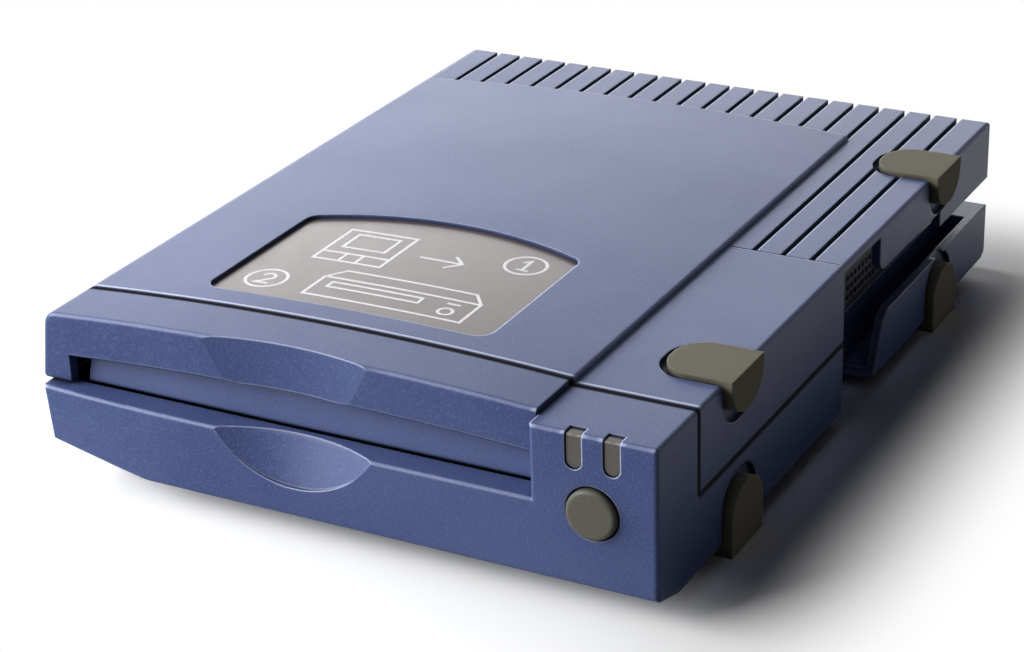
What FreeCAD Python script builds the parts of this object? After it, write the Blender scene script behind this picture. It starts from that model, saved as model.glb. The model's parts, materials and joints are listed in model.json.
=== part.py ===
import FreeCAD, Part
import math
import os

# A desktop drive for flexible magnetic disks in hard cartridges.
# Case coordinates while modelling, in millimetres: x from the left side, y from the front face,
# z from the underside of the case. Every piece is moved to the object's frame when it is written.

# Case
CASE_W = 136.0
CASE_L = 182.0
STRIP_TOP = 34.0            # flat top right of the raised slab, and the ribbed deck
STRIP_W = 25.6
SLAB_W = CASE_W - STRIP_W
SLAB_LEFT_TOP = 33.9
SLAB_RIGHT_TOP = 35.1
SLAB_CROWN = 1.95           # rise of the slab's middle over its two edges
SLAB_END = 158.4            # the slab's rear edge
WALL = 2.0
ROOF = 2.2
SEAM = 0.3                  # width of the parting lines that show
EDGE_R = 0.9
REAR_BEVEL = 0.6
SINK = 0.5                  # how far a post or rib reaches into the wall that carries it

# Left side: the upper half overhangs the lower one and leans in towards its top
UPPER_OUT = 3.0
UPPER_LEAN = 1.9
UPPER_CORNER_R = 3.0
UPPER_FOOT_R = 0.9
LOWER_OUT = 1.3
LOWER_LEAN = 1.5
CORNER_R = 4.0

# Front
SEAM_Y = 17.8               # where the front pieces meet the top shell
BLOCK_W = 25.8              # the lamp and button block
BLOCK_X = CASE_W - BLOCK_W
LEDGE_Z = 18.8              # top of the lower fascia, under the slot
LEDGE_DEPTH = 6.0
SWEEP_X = 27.0              # the front face turns back from here to the left side
SWEEP_BACK = 1.2
CHIN_RISE = 3.0             # the underside slopes up to the front edge
CHIN_DEPTH = 11.0
CHIN_LEFT_RISE = 4.6        # more rise at the left corner
CHIN_LEFT_X = 24.0
PART_RIGHT_Z = 16.4         # parting line on the right side

# Upper lip over the slot
LIP_FRONT = 3.8
LIP_WALL = 2.4
LIP_HEIGHT = 9.2
LIP_POST_X = 4.1
LIP_BEVEL = 0.5
LIP_TAB_T = 1.5
LIP_TAB_Z = 26.0
SCOOP_X = 55.5
SCOOP_HALF = 19.0
SCOOP_DEPTH = 2.2
SCOOP_DEPTH_LOW = 1.2

# Thumb recess in the fascia
THUMB_X = 58.5
THUMB_HALF = 18.2
THUMB_DROP = 9.7
THUMB_DEPTH = 4.6
THUMB_DEPTH_LOW = 0.9

# Window in the slab
WINDOW_X0 = 23.2
WINDOW_X1 = 88.2
WINDOW_Y0 = 25.2
WINDOW_SIDE_Y = 66.2
WINDOW_BACK_Y = 72.7
WINDOW_R = 3.5
WINDOW_DROP = 0.8
WINDOW_THICK = 0.9
WINDOW_RIM = 1.8
FIT = 0.15

# Ribbed deck at the rear
GROOVE_COUNT = 20
GROOVE_X = 7.5              # middle of the first groove
GROOVE_INSET = 7.185        # middle of the last one, from the right side
GROOVE_PITCH = (CASE_W - GROOVE_X - GROOVE_INSET) / (GROOVE_COUNT - 1)
GROOVE_W = 1.2
GROOVE_FLARE = 0.9          # rounding of the ribs' rear ends
GROOVE_DEPTH = 2.4
DECK_THICK = 3.6
STRIP_RIB_Y = 90.3          # the strip's grooves and the side recess start here
TICK_W = 0.4

# Side recess for the cables
CHANNEL_DEPTH = 8.0
SKIRT_Y = 111.0
SKIRT_Z = 24.0
SKIRT_REAR_Z = 20.3
SKIRT_STEP_Y = 149.0
LOWER_WALL_Y = 114.0
LOWER_WALL_LEAN = 5.5
LOWER_WALL_Z = 13.4
SKIRT_R = 3.0
CORNER_SHELF = 9.5          # flat top that ends the recess at the rear corner
GRILLE_Y0 = 94.0
GRILLE_Y1 = 152.0
GRILLE_Z0 = 14.0
GRILLE_Z1 = 22.4
GRILLE_PITCH = 2.2
GRILLE_BAR = 0.9
GRILLE_THICK = 1.0

# Rear recess for the connectors
PANEL_Y = 164.4
PANEL_THICK = 1.2
SILL_H = 3.0
REAR_CHAMFER = 3.0

# Rubber pads
PAD_Y = (36.5, 149.0)
PAD_W = 15.0
POCKET_W = 16.4
PAD_REACH = 14.0
POCKET_REACH = 15.4
PAD_TIP = 6.0
POCKET_DEPTH = 1.2
PAD_PROUD = 1.8
PAD_TOP_PROUD = 0.8
FOOT_DROP = 2.5
UPPER_SIDE_LEN = 7.5
LOWER_SIDE_LEN = 11.0
POCKET_GAP = 2.4
FOOT_X = 9.5
FOOT_LEN = 16.0

# Eject button, lamps and their small board
BUTTON_INSET = 13.1
BUTTON_X = CASE_W - BUTTON_INSET
BUTTON_Z = 18.4
BUTTON_R = 5.15
BUTTON_HOLE_R = 5.55
BUTTON_PROUD = 1.2
BUTTON_FLANGE_R = 6.8
BUTTON_FLANGE_T = 1.2
BUTTON_TRAVEL = 2.0
BUTTON_GAP = 0.1
STEM_R = 3.0
LEAF_HALF = 6.4
LEAF_W = 9.0
LEAF_T = 0.3
SWITCH_H = 2.6
GUIDE_Y = 9.4
GUIDE_T = 1.6
GUIDE_LEFT = 8.5
GUIDE_ABOVE = 6.0
LAMP_PITCH = 7.7
LAMP_SHIFT = 0.15           # of the lamps' middle from the button's
LAMP_X = (BUTTON_X + LAMP_SHIFT - LAMP_PITCH / 2, BUTTON_X + LAMP_SHIFT + LAMP_PITCH / 2)
LAMP_W = 3.4
LAMP_BOTTOM = 26.7
LAMP_WRAP = 2.8
LAMP_SINK = 0.35
LAMP_ARM = 2.4
LAMP_AIR = 0.1              # between a light pipe and its lamp
LED_HALF = 1.4
LED_T = 3.3
BOARD_T = 1.6
PANEL_BOARD_Y = 19.4
PANEL_BOARD_HALF = 9.4
PANEL_BOARD_Z0 = 8.0
PANEL_BOARD_Z1 = 31.0
GRIP_W = 2.4                # stands that clasp the small board's lower corners
GRIP_SIDE = 1.1
GRIP_CHEEK = 1.2
GRIP_TOP = 12.0

# Dust door
DOOR_GAP = 0.4              # between the door's ends and the tabs that carry it
DOOR_AXIS_Y = 10.2
DOOR_AXIS_Z = 28.9
DOOR_LEN = 10.6
DOOR_T = 1.2
DOOR_TILT = 16.0
DOOR_PIN_R = 0.8
DOOR_KNUCKLE_R = 1.3
DOOR_SPRING_ROOM = 2.4
DOOR_WIRE = 0.5
DOOR_TURNS = 2
PIN_PLAY = 0.05

# Chassis
CHASSIS_X0 = 8.3
CHASSIS_W = 101.4
CHASSIS_X1 = CHASSIS_X0 + CHASSIS_W
CHASSIS_Y0 = 22.0
CHASSIS_Y1 = 154.6
CHASSIS_Z = 9.4
SHEET = 1.0
RAIL_TOP = 27.6
TRAY_LEDGE_Z = 15.2
TRAY_LEDGE_W = 2.5
BAY_X = CHASSIS_X0 + CHASSIS_W / 2

# Disk tray
TRAY_Y0 = 15.4
TRAY_BAR = 3.0
TRAY_STOP_Y = 92.5
TRAY_STOP_T = 1.5
TRAY_STOP_H = 7.1
TRAY_T = 1.5
TRAY_GAP = 0.2
TRAY_SIDE_GAP = 0.4
TRAY_TRAVEL = 9.5
ARM_GAP_HALF = 14.0

# Spindle motor
MOTOR_Y = 44.0
MOTOR_PLATE_Z = 11.0
MOTOR_PLATE_R = 24.0
MOTOR_HOLE_GAP = 1.5
MOTOR_LIFT = 2.4
MOTOR_EAR = 5.0
POST_R = 1.2
POST_X = 28.0
POST_Y = 16.0
POST_EYE_R = 2.5
FOLLOWER_R = 0.8
RAMP_PLAY = 0.15
RAMP_PAST = 1.5             # how far the ramps run past the followers' last place
RAMP_BACK = 0.8
RAMP_W = 2.0
EAR_HALF = 1.2
STATOR_R = 18.0
STATOR_H = 1.6
COIL_COUNT = 9
BEARING_R = 4.0
SPINDLE_R = 1.5
ROTOR_R = 21.0
ROTOR_T = 1.0
ROTOR_GAP = 0.4
HUB_R = 11.0
HUB_H = 1.9
HUB_PIN_R = 2.0
HUB_PIN_H = 0.8

# Head carriage and voice coil
CARRIAGE_Y = 134.0
CARRIAGE_L = 16.0
CARRIAGE_HALF = 11.5
CARRIAGE_Z0 = 12.6
CARRIAGE_Z1 = 19.2
CARRIAGE_TRAVEL = 27.0
ROD_R = 1.5
ROD_X = 8.0
ROD_Z = 15.4
ROD_TAB_Y = (104.4, 152.8)
ROD_TAB_T = 1.6
ARM_TIP_Y = 105.0
ARM_T = 0.6
LOWER_ARM_Z = 20.0
UPPER_ARM_Z = 23.2
HEAD_T = 0.6
COIL_IN = 16.6
COIL_OUT = 21.2
COIL_WIRE = 1.6
COIL_Z0 = 13.2
COIL_Z1 = 22.4
COIL_LEN = 10.0
YOKE_Y0 = 106.8
YOKE_Y1 = 153.6
YOKE_T = 1.4
MAGNET_T = 1.8
MAGNET_GAP = 0.6

# Eject latch
PLUNGER_INSET = 11.7        # from the chassis's right rail
PLUNGER_X = CHASSIS_X1 - PLUNGER_INSET
PLUNGER_TRAVEL = 3.0
SOLENOID_Y = 128.0
SOLENOID_L = 18.0
SOLENOID_W = 12.0
SOLENOID_H = 10.0
LATCH_Y = 112.0
LATCH_T = 1.5
LATCH_ARM = 10.0
LATCH_X = PLUNGER_X - LATCH_ARM
LATCH_LIFT = 1.4
LATCH_PIN_R = 1.0
PLUNGER_R = 2.0

# Boards and connectors
BOARD_X0 = 9.6
BOARD_INSET = 22.5
BOARD_X1 = CASE_W - BOARD_INSET
BOARD_SIDE_GAP = 0.6
BOARD_WIDE_X1 = CASE_W - CHANNEL_DEPTH - WALL - BOARD_SIDE_GAP
BOARD_Y0 = 24.0
BOARD_Y1 = 164.0
BOARD_WIDE_Y = 146.0
BOARD_Z = 4.5
PORT_Z = 13.2
PORT_FLANGE_W = 53.0
PORT_SIDE_GAP = 0.2
PORT_GAP = 0.7
PORT_RIGHT = CASE_W - CHANNEL_DEPTH - WALL - PORT_SIDE_GAP - PORT_FLANGE_W / 2
PORT_X = (PORT_RIGHT - PORT_FLANGE_W - PORT_GAP, PORT_RIGHT)
PORT_FLANGE_H = 12.5
PORT_FLANGE_T = 1.0
PORT_SHELL_W = 38.9
PORT_SHELL_H = 8.4
PORT_SHELL_L = 5.9
PORT_TAPER = 10.0
PORT_BODY_W = 41.0
PORT_BODY_H = 10.6
PORT_BODY_L = 9.4
JACKSCREW_X = 23.5
JACKSCREW_R = 2.4
JACKSCREW_L = 4.8
JACKSCREW_BORE_R = 1.2
JACK_X = 11.2
JACK_W = 9.0
JACK_H = 11.0
JACK_L = 10.8
JACK_BORE_R = 2.75
JACK_BORE_L = 9.0
JACK_PIN_R = 1.0
CHIPS = ((40.0, 58.0, 60.0, 78.0, 1.8), (66.0, 80.0, 66.0, 76.0, 1.6),
         (40.0, 52.0, 96.0, 104.0, 1.6), (64.0, 84.0, 94.0, 108.0, 2.0))
CAPACITORS = ((46.0, 84.0), (70.0, 84.0))
CAPACITOR_R = 2.0
CAPACITOR_H = 2.4

# Screws
SCREW_INSET = 17.0          # of the right case screws from the right side
CASE_SCREWS = ((4.9, 30.0), (4.9, 140.0), (CASE_W - SCREW_INSET, 40.0), (CASE_W - SCREW_INSET, 139.0))
CASE_BOSS_R = 2.7
CASE_SCREW_R = 1.1
CASE_HEAD_R = 2.0
CASE_HEAD_H = 1.6
CASE_SINK = 3.4
CASE_SCREW_L = 20.0
PILOT_SPARE = 2.6
CHASSIS_SCREWS = ((20.0, 32.0), (98.0, 32.0), (20.0, 146.0), (94.0, 150.0))
CHASSIS_POST = 6.0
BOARD_POST = 4.0
BOARD_POST_SIDE = 4.0
BOARD_POST_FRONT = 20.0
BOARD_POST_REAR = 8.0
CHASSIS_SCREW_R = 1.2
CHASSIS_HEAD_R = 2.6
CHASSIS_HEAD_H = 1.6

# The object's frame: centre of the outer box in plan, on the plane that it rests on
ORIGIN = FreeCAD.Vector((UPPER_OUT - CASE_W - PAD_PROUD) / 2, (BUTTON_PROUD - CASE_L) / 2, FOOT_DROP)


def vec(x, y, z):
    return FreeCAD.Vector(x, y, z)


X_AXIS = vec(1, 0, 0)
Y_AXIS = vec(0, 1, 0)
Z_AXIS = vec(0, 0, 1)


def box(x0, x1, y0, y1, z0, z1):
    """A block between two corners."""
    return Part.makeBox(x1 - x0, y1 - y0, z1 - z0, vec(x0, y0, z0))


def pillar(x, y, half, z0, z1):
    """A square post between two heights."""
    return box(x - half, x + half, y - half, y + half, z0, z1)


def rod(x, y, z, radius, length, axis=Z_AXIS):
    """A round bar from a point along an axis."""
    return Part.makeCylinder(radius, length, vec(x, y, z), axis)


def line(a, b):
    return Part.LineSegment(a, b).toShape()


def arc(a, middle, b):
    return Part.Arc(a, middle, b).toShape()


def prism(edges, travel):
    """The closed outline made by the edges, pushed along a vector."""
    return Part.Face(Part.Wire(Part.__sortEdges__(edges))).extrude(travel)


def polygon(points, travel):
    """A straight-sided outline, pushed along a vector."""
    return Part.Face(Part.makePolygon(points + [points[0]])).extrude(travel)


def fuse(first, *others):
    """One solid from several that touch, with its merged faces."""
    return first.fuse(list(others)).removeSplitter()


def cut(shape, *tools):
    """A shape without its tools, as a bare solid where one is left."""
    result = shape.cut(list(tools)).removeSplitter()
    return result.Solids[0] if len(result.Solids) == 1 else result


def round_edges(shape, radius, chosen):
    """Fillet the edges that a test on their middle point picks."""
    edges = [edge for edge in shape.Edges if chosen(edge.CenterOfMass, edge)]
    return shape.makeFillet(radius, edges) if edges else shape


def bevel_edges(shape, size, chosen):
    """Chamfer the edges that a test on their middle point picks."""
    edges = [edge for edge in shape.Edges if chosen(edge.CenterOfMass, edge)]
    return shape.makeChamfer(size, edges) if edges else shape


def near(value, target, within=0.05):
    return abs(value - target) < within


def write(name, *solids):
    """Write one sub-part, moved to the object's frame."""
    whole = solids[0] if len(solids) == 1 else Part.makeCompound(list(solids))
    placed = whole.copy()
    placed.translate(ORIGIN)
    placed.exportStep("parts/" + name + ".step")
    print(name, len(placed.Solids), "solid(s)", round(placed.Volume, 1), "mm3", placed.isValid())


def crown_z(x, drop=0.0):
    """Height of the slab's crowned top over a place across it."""
    share = x / SLAB_W
    chord = SLAB_LEFT_TOP + (SLAB_RIGHT_TOP - SLAB_LEFT_TOP) * share
    return chord + SLAB_CROWN * 4 * share * (1 - share) - drop


def crown_block(x0, x1, y0, y1, bottom, drop=0.0, top_x0=None):
    """A block under the slab's crown, its top lowered by a drop; its left side may lean to top_x0."""
    left = x0 if top_x0 is None else top_x0
    middle = (left + x1) / 2
    low0, low1 = vec(x0, y0, bottom), vec(x1, y0, bottom)
    high0, high1 = vec(left, y0, crown_z(left, drop)), vec(x1, y0, crown_z(x1, drop))
    edges = [line(low0, low1), line(low1, high1), line(low0, high0)]
    edges.append(arc(high0, vec(middle, y0, crown_z(middle, drop)), high1))
    return prism(edges, vec(0, y1 - y0, 0))


def lower_left(z):
    """Where the lower half's left side lies at a height."""
    return LOWER_LEAN * (LEDGE_Z - z) / (LEDGE_Z - CORNER_R) - LOWER_OUT


def upper_left(z):
    """Where the upper half's left side lies at a height."""
    return UPPER_LEAN * (z - LEDGE_Z) / (SLAB_LEFT_TOP - LEDGE_Z) - UPPER_OUT


def lower_room(x1, y0, y1, z0, z1, gap=0.0):
    """A space inside the lower half, a wall's thickness from the leaning left side."""
    return polygon([vec(lower_left(z0) + WALL + gap, y0, z0), vec(x1, y0, z0), vec(x1, y0, z1),
                    vec(lower_left(z1) + WALL + gap, y0, z1)], vec(0, y1 - y0, 0))


def upper_room(x1, y0, y1, z0, z1, gap=0.0):
    """The same inside the upper half."""
    return polygon([vec(upper_left(z0) + WALL + gap, y0, z0), vec(x1, y0, z0), vec(x1, y0, z1),
                    vec(upper_left(z1) + WALL + gap, y0, z1)], vec(0, y1 - y0, 0))


def bullet(width, reach, tip, base, thickness, flat, inward, across):
    """A pad outline: straight sides from its base, and a rounded tip, pushed along a normal."""
    half = width / 2
    shoulder = inward * (reach - tip)
    side = across * half
    end = base + inward * reach
    bulge = base + inward * (reach - tip * 0.29)
    corner0, corner1 = base - side, base + side
    knee0, knee1 = base + shoulder - side, base + shoulder + side
    edges = [line(corner0, corner1), line(corner0, knee0), line(corner1, knee1)]
    edges.append(arc(knee0, bulge - side * 0.71, end))
    edges.append(arc(end, bulge + side * 0.71, knee1))
    return prism(edges, flat * thickness)


# Places that several pieces share
front_wall = WALL + 0.2
flange_y = front_wall + BUTTON_GAP
channel_wall_x1 = CASE_W - CHANNEL_DEPTH
channel_wall_x0 = channel_wall_x1 - WALL
board_top = BOARD_Z + BOARD_T
grip_x = (BUTTON_X - PANEL_BOARD_HALF - GRIP_SIDE, BUTTON_X + PANEL_BOARD_HALF + GRIP_SIDE - GRIP_W)
chassis_top = CHASSIS_Z + SHEET
latch_z = chassis_top + LATCH_LIFT
panel_rear = PANEL_Y + PANEL_THICK
lip_rear = SEAM_Y - SEAM
lip_right = BLOCK_X - SEAM
left_part_top = LEDGE_Z + SEAM
right_part_top = PART_RIGHT_Z + SEAM
boss_split_z = LEDGE_Z - 4
lamp_arm_z = (LAMP_BOTTOM + LAMP_W / 2 + STRIP_TOP - WALL) / 2
door_left_tab = LIP_POST_X + 0.4
door_right_tab = lip_right - LIP_TAB_T
door_x0 = door_left_tab + LIP_TAB_T + DOOR_GAP
door_x1 = door_right_tab - DOOR_GAP


def edge_pad(y, upper, pocket):
    """A pad that wraps a right-hand edge of the case, or the pocket that holds it."""
    width = POCKET_W if pocket else PAD_W
    reach = POCKET_REACH if pocket else PAD_REACH
    side_len = UPPER_SIDE_LEN if upper else LOWER_SIDE_LEN
    side_proud = 0.0 if pocket else PAD_PROUD
    flat_proud = 0.0 if pocket else (PAD_TOP_PROUD if upper else FOOT_DROP)
    side_len += POCKET_GAP if pocket else 0.0
    face_z = STRIP_TOP if upper else 0.0
    outward = 1 if upper else -1
    # the pocket tool reaches past the surface so that the cut is clean
    over = 1.0 if pocket else 0.0
    flat_base = vec(CASE_W + side_proud + over, y, face_z - outward * POCKET_DEPTH)
    flat = bullet(width, reach + side_proud + over, PAD_TIP, flat_base,
                  POCKET_DEPTH + flat_proud + over, Z_AXIS * outward, -X_AXIS, Y_AXIS)
    side_base = vec(CASE_W - POCKET_DEPTH, y, face_z + outward * (flat_proud + over))
    side = bullet(width, side_len + flat_proud + over, PAD_TIP, side_base,
                  POCKET_DEPTH + side_proud + over, X_AXIS, -Z_AXIS * outward, Y_AXIS)
    return fuse(flat, side)


def foot(y, pocket):
    """A plain foot under the left side, or its pocket."""
    width = POCKET_W if pocket else PAD_W
    grow = POCKET_REACH - PAD_REACH if pocket else 0.0
    over = 1.0 if pocket else FOOT_DROP
    base = vec(FOOT_X - grow / 2, y, POCKET_DEPTH)
    return bullet(width, FOOT_LEN + grow, PAD_TIP, base, POCKET_DEPTH + over, -Z_AXIS, X_AXIS, Y_AXIS)


def lower_outline():
    """The lower body's section across the case, leaning and rounded at its left."""
    toe = lower_left(CORNER_R)
    diagonal = CORNER_R * (1 - math.sqrt(0.5))
    start, end = vec(toe, 0, CORNER_R), vec(toe + CORNER_R, 0, 0)
    points = [end, vec(CASE_W, 0, 0), vec(CASE_W, 0, PART_RIGHT_Z), vec(SLAB_W, 0, PART_RIGHT_Z),
              vec(SLAB_W, 0, LEDGE_Z), vec(lower_left(LEDGE_Z), 0, LEDGE_Z), start]
    edges = [line(points[i], points[i + 1]) for i in range(len(points) - 1)]
    edges.append(arc(start, vec(toe + diagonal, 0, diagonal), end))
    return prism(edges, vec(0, CASE_L, 0))


def front_sweep():
    """A tool that turns the left end of the front back in a long arc."""
    middle = vec(SWEEP_X / 2, SWEEP_BACK * 0.35, -5)
    corner, start = vec(-LOWER_OUT - 2, SWEEP_BACK * 1.25, -5), vec(SWEEP_X, 0, -5)
    clear, clear_left = vec(SWEEP_X, -5, -5), vec(-LOWER_OUT - 2, -5, -5)
    return prism([arc(corner, middle, start), line(start, clear), line(clear, clear_left),
                  line(clear_left, corner)], vec(0, 0, STRIP_TOP + 10))


def chin_slopes(lift=0.0):
    """Tools that slope the underside up to the front edge, and further up at the left corner."""
    over = 3.0
    slope = CHIN_RISE / CHIN_DEPTH
    front_z = CHIN_RISE + slope * over + lift
    chin = polygon([vec(-over, -over, front_z), vec(-over, CHIN_DEPTH, lift), vec(-over, CHIN_DEPTH, -5),
                    vec(-over, -over, -5)], vec(CASE_W + 2 * over, 0, 0))
    side_slope = CHIN_LEFT_RISE / CHIN_LEFT_X
    corner_rise = side_slope * (CHIN_LEFT_X + over)
    corner_back = CHIN_DEPTH + corner_rise / slope
    points = [vec(-over, -over, front_z + corner_rise), vec(CHIN_LEFT_X, -over, front_z),
              vec(CHIN_LEFT_X, CHIN_DEPTH, lift), vec(-over, corner_back, lift)]
    corner = Part.Face(Part.makePolygon(points + [points[0]])).extrude(vec(0, 0, -15))
    return chin, corner


def thumb_recess():
    """A half moon in the fascia whose inner wall leans in towards the ledge."""
    radius = (THUMB_HALF ** 2 + THUMB_DROP ** 2) / (2 * THUMB_DROP)
    moon = rod(THUMB_X, -10, LEDGE_Z + radius - THUMB_DROP, radius, 30, Y_AXIS)
    top_r = (THUMB_HALF ** 2 + THUMB_DEPTH ** 2) / (2 * THUMB_DEPTH)
    low_r = top_r - (THUMB_DEPTH - THUMB_DEPTH_LOW)
    centre_y = THUMB_DEPTH - top_r
    slope = (top_r - low_r) / THUMB_DROP
    over = 2.0
    wall = Part.makeCone(low_r - slope * over, top_r + slope * over, THUMB_DROP + 2 * over,
                         vec(THUMB_X, centre_y, LEDGE_Z - THUMB_DROP - over))
    return moon.common(wall)


def case_bosses(z0, z1, radius):
    return [rod(x, y, z0, radius, z1 - z0) for x, y in CASE_SCREWS]


def left_rounded(shape):
    """The upper half's rounded left edges: the soft top corner and the rolled-under foot."""
    shape = round_edges(shape, UPPER_CORNER_R, lambda c, e: c.x < 0 and c.z > SLAB_LEFT_TOP - 1
                        and e.Length > 10)
    return round_edges(shape, UPPER_FOOT_R, lambda c, e: near(c.x, -UPPER_OUT, 0.2)
                       and near(c.z, left_part_top) and e.Length > 10)


def bottom_shell():
    """Floor, side walls, fascia and the lamp and button block in one moulding."""
    block = box(BLOCK_X, CASE_W, 0, SEAM_Y - SEAM, 0, STRIP_TOP)
    outer = fuse(lower_outline(), block)
    outer = cut(outer, front_sweep(), *chin_slopes())

    def rounded(c, edge):
        block_top = near(c.z, STRIP_TOP) and (near(c.y, 0) or near(c.x, CASE_W))
        block_side = near(c.y, 0) and near(c.x, CASE_W, 0.2)
        ledge = near(c.z, LEDGE_Z) and c.y < SWEEP_BACK and c.x < BLOCK_X
        side = near(c.x, CASE_W) and near(c.z, 0, 0.1) and edge.Length > 50
        chin = c.y < 1.0 and near(c.z, CHIN_RISE, 0.3) and c.x > CHIN_LEFT_X
        left = c.x < 1.5 and c.y < 3 and 10 < c.z < LEDGE_Z - 1
        block_left = near(c.x, BLOCK_X) and near(c.y, 0) and c.z > LEDGE_Z
        return block_top or block_side or block_left or ledge or side or chin or left

    outer = round_edges(outer, EDGE_R, rounded)
    top = LEDGE_Z + 1
    rooms = [lower_room(BLOCK_X + WALL, front_wall, SEAM_Y, WALL, LEDGE_Z - WALL),
             lower_room(BLOCK_X, LEDGE_DEPTH, SEAM_Y, WALL, top),
             box(BLOCK_X + WALL, CASE_W - WALL, front_wall, SEAM_Y, WALL, STRIP_TOP - WALL),
             lower_room(channel_wall_x0, SEAM_Y - 0.5, CASE_L - WALL, WALL, top),
             box(channel_wall_x0 - 1, CASE_W - WALL, SEAM_Y - 0.5, STRIP_RIB_Y - WALL, WALL, top),
             lower_room(channel_wall_x0, CASE_L - WALL - 1, CASE_L + 1, SILL_H, top)]
    hollow = fuse(*rooms).cut(list(chin_slopes(WALL)))
    channel = box(channel_wall_x1, CASE_W - WALL, STRIP_RIB_Y, CASE_L - CORNER_SHELF, WALL, top)
    notch = polygon([vec(channel_wall_x1, STRIP_RIB_Y, -1),
                     vec(channel_wall_x1, LOWER_WALL_Y - LOWER_WALL_LEAN, -1),
                     vec(channel_wall_x1, LOWER_WALL_Y, LOWER_WALL_Z - 2),
                     vec(channel_wall_x1, LOWER_WALL_Y + 3, LOWER_WALL_Z),
                     vec(channel_wall_x1, CASE_L + 1, LOWER_WALL_Z),
                     vec(channel_wall_x1, CASE_L + 1, LEDGE_Z + 1),
                     vec(channel_wall_x1, STRIP_RIB_Y, LEDGE_Z + 1)], vec(CHANNEL_DEPTH + 1, 0, 0))
    inner_low = box(channel_wall_x0 - 1, CASE_W, STRIP_RIB_Y - 0.01, CASE_L + 1, LOWER_WALL_Z, LEDGE_Z + 1)
    rear_edge = polygon([vec(-1, CASE_L - REAR_CHAMFER, 0), vec(-1, CASE_L, REAR_CHAMFER * 0.6),
                         vec(-1, CASE_L + 1, REAR_CHAMFER * 0.6), vec(-1, CASE_L + 1, -1),
                         vec(-1, CASE_L - REAR_CHAMFER, -1)], vec(CASE_W + 2, 0, 0))
    shell = cut(outer, hollow, channel, notch, inner_low, rear_edge)
    thumb_back = box(THUMB_X - THUMB_HALF - 3, THUMB_X + THUMB_HALF + 3, front_wall - 0.2, LEDGE_DEPTH,
                     LEDGE_Z - THUMB_DROP - WALL, LEDGE_Z - WALL + 0.2)
    bosses = case_bosses(WALL - 0.5, boss_split_z, CASE_BOSS_R)
    stands = [pillar(x, y, CHASSIS_POST / 2, WALL - SINK, CHASSIS_Z) for x, y in CHASSIS_SCREWS]
    board_stands = [pillar(x, y, BOARD_POST / 2, WALL - SINK, BOARD_Z)
                    for x in (BOARD_X0 + BOARD_POST_SIDE, BOARD_X1 - BOARD_POST_SIDE)
                    for y in (BOARD_Y0 + BOARD_POST_FRONT, BOARD_Y1 - BOARD_POST_REAR)]
    guide = box(BUTTON_X - GUIDE_LEFT, CASE_W - WALL + SINK, GUIDE_Y, GUIDE_Y + GUIDE_T, WALL,
                BUTTON_Z + GUIDE_ABOVE)
    grips = [box(x0, x0 + GRIP_W, PANEL_BOARD_Y - GRIP_CHEEK, PANEL_BOARD_Y + BOARD_T + GRIP_CHEEK,
                 WALL - SINK, GRIP_TOP) for x0 in grip_x]
    shell = fuse(shell, thumb_back, guide, *(bosses + stands + board_stands + grips))
    tools = [thumb_recess(), rod(BUTTON_X, -1, BUTTON_Z, BUTTON_HOLE_R, front_wall + 2, Y_AXIS),
             rod(BUTTON_X, GUIDE_Y - 1, BUTTON_Z, STEM_R + PIN_PLAY, GUIDE_T + 2, Y_AXIS)]
    tools += [rod(x, y, -1, CASE_HEAD_R + 0.4, CASE_SINK + 1) for x, y in CASE_SCREWS]
    tools += [rod(x, y, 0, CASE_SCREW_R + 0.2, STRIP_TOP) for x, y in CASE_SCREWS]
    tools += [rod(x, y, CHASSIS_Z - 5, CHASSIS_SCREW_R, 6) for x, y in CHASSIS_SCREWS]
    tools += [edge_pad(y, False, True) for y in PAD_Y] + [foot(y, True) for y in PAD_Y]
    for x in LAMP_X:
        slot = box(x - LAMP_W / 2, x + LAMP_W / 2, -1, LAMP_WRAP, LAMP_BOTTOM + LAMP_W / 2, STRIP_TOP + 1)
        toe = rod(x, -1, LAMP_BOTTOM + LAMP_W / 2, LAMP_W / 2, LAMP_WRAP + 1, Y_AXIS)
        tools.append(fuse(slot, toe))
    tools += [box(x0, x0 + GRIP_W, PANEL_BOARD_Y - FIT, PANEL_BOARD_Y + BOARD_T + FIT,
                  PANEL_BOARD_Z0 - FIT, GRIP_TOP + 1) for x0 in grip_x]
    return cut(shell, *tools)


def deck_grooves():
    """The slots between the ribs: short behind the slab, long on the strip beside it."""
    floor = STRIP_TOP - GROOVE_DEPTH
    half, flare, over = GROOVE_W / 2, GROOVE_FLARE, 1.0
    bulge = flare * (1 - math.sqrt(0.5))
    tools = []
    for index in range(GROOVE_COUNT):
        x = GROOVE_X + GROOVE_PITCH * index
        start = SLAB_END if x < SLAB_W else STRIP_RIB_Y
        edges = [line(vec(x - half, start, floor), vec(x + half, start, floor)),
                 line(vec(x - half - flare, CASE_L + over, floor), vec(x + half + flare, CASE_L + over, floor))]
        for side in (-1, 1):
            wall, mouth = x + side * half, x + side * (half + flare)
            knee, corner = vec(wall, CASE_L - flare, floor), vec(mouth, CASE_L, floor)
            edges.append(line(vec(wall, start, floor), knee))
            edges.append(arc(knee, vec(wall + side * bulge, CASE_L - bulge, floor), corner))
            edges.append(line(corner, vec(mouth, CASE_L + over, floor)))
        tools.append(prism(edges, vec(0, 0, GROOVE_DEPTH + over)))
    return tools


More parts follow.
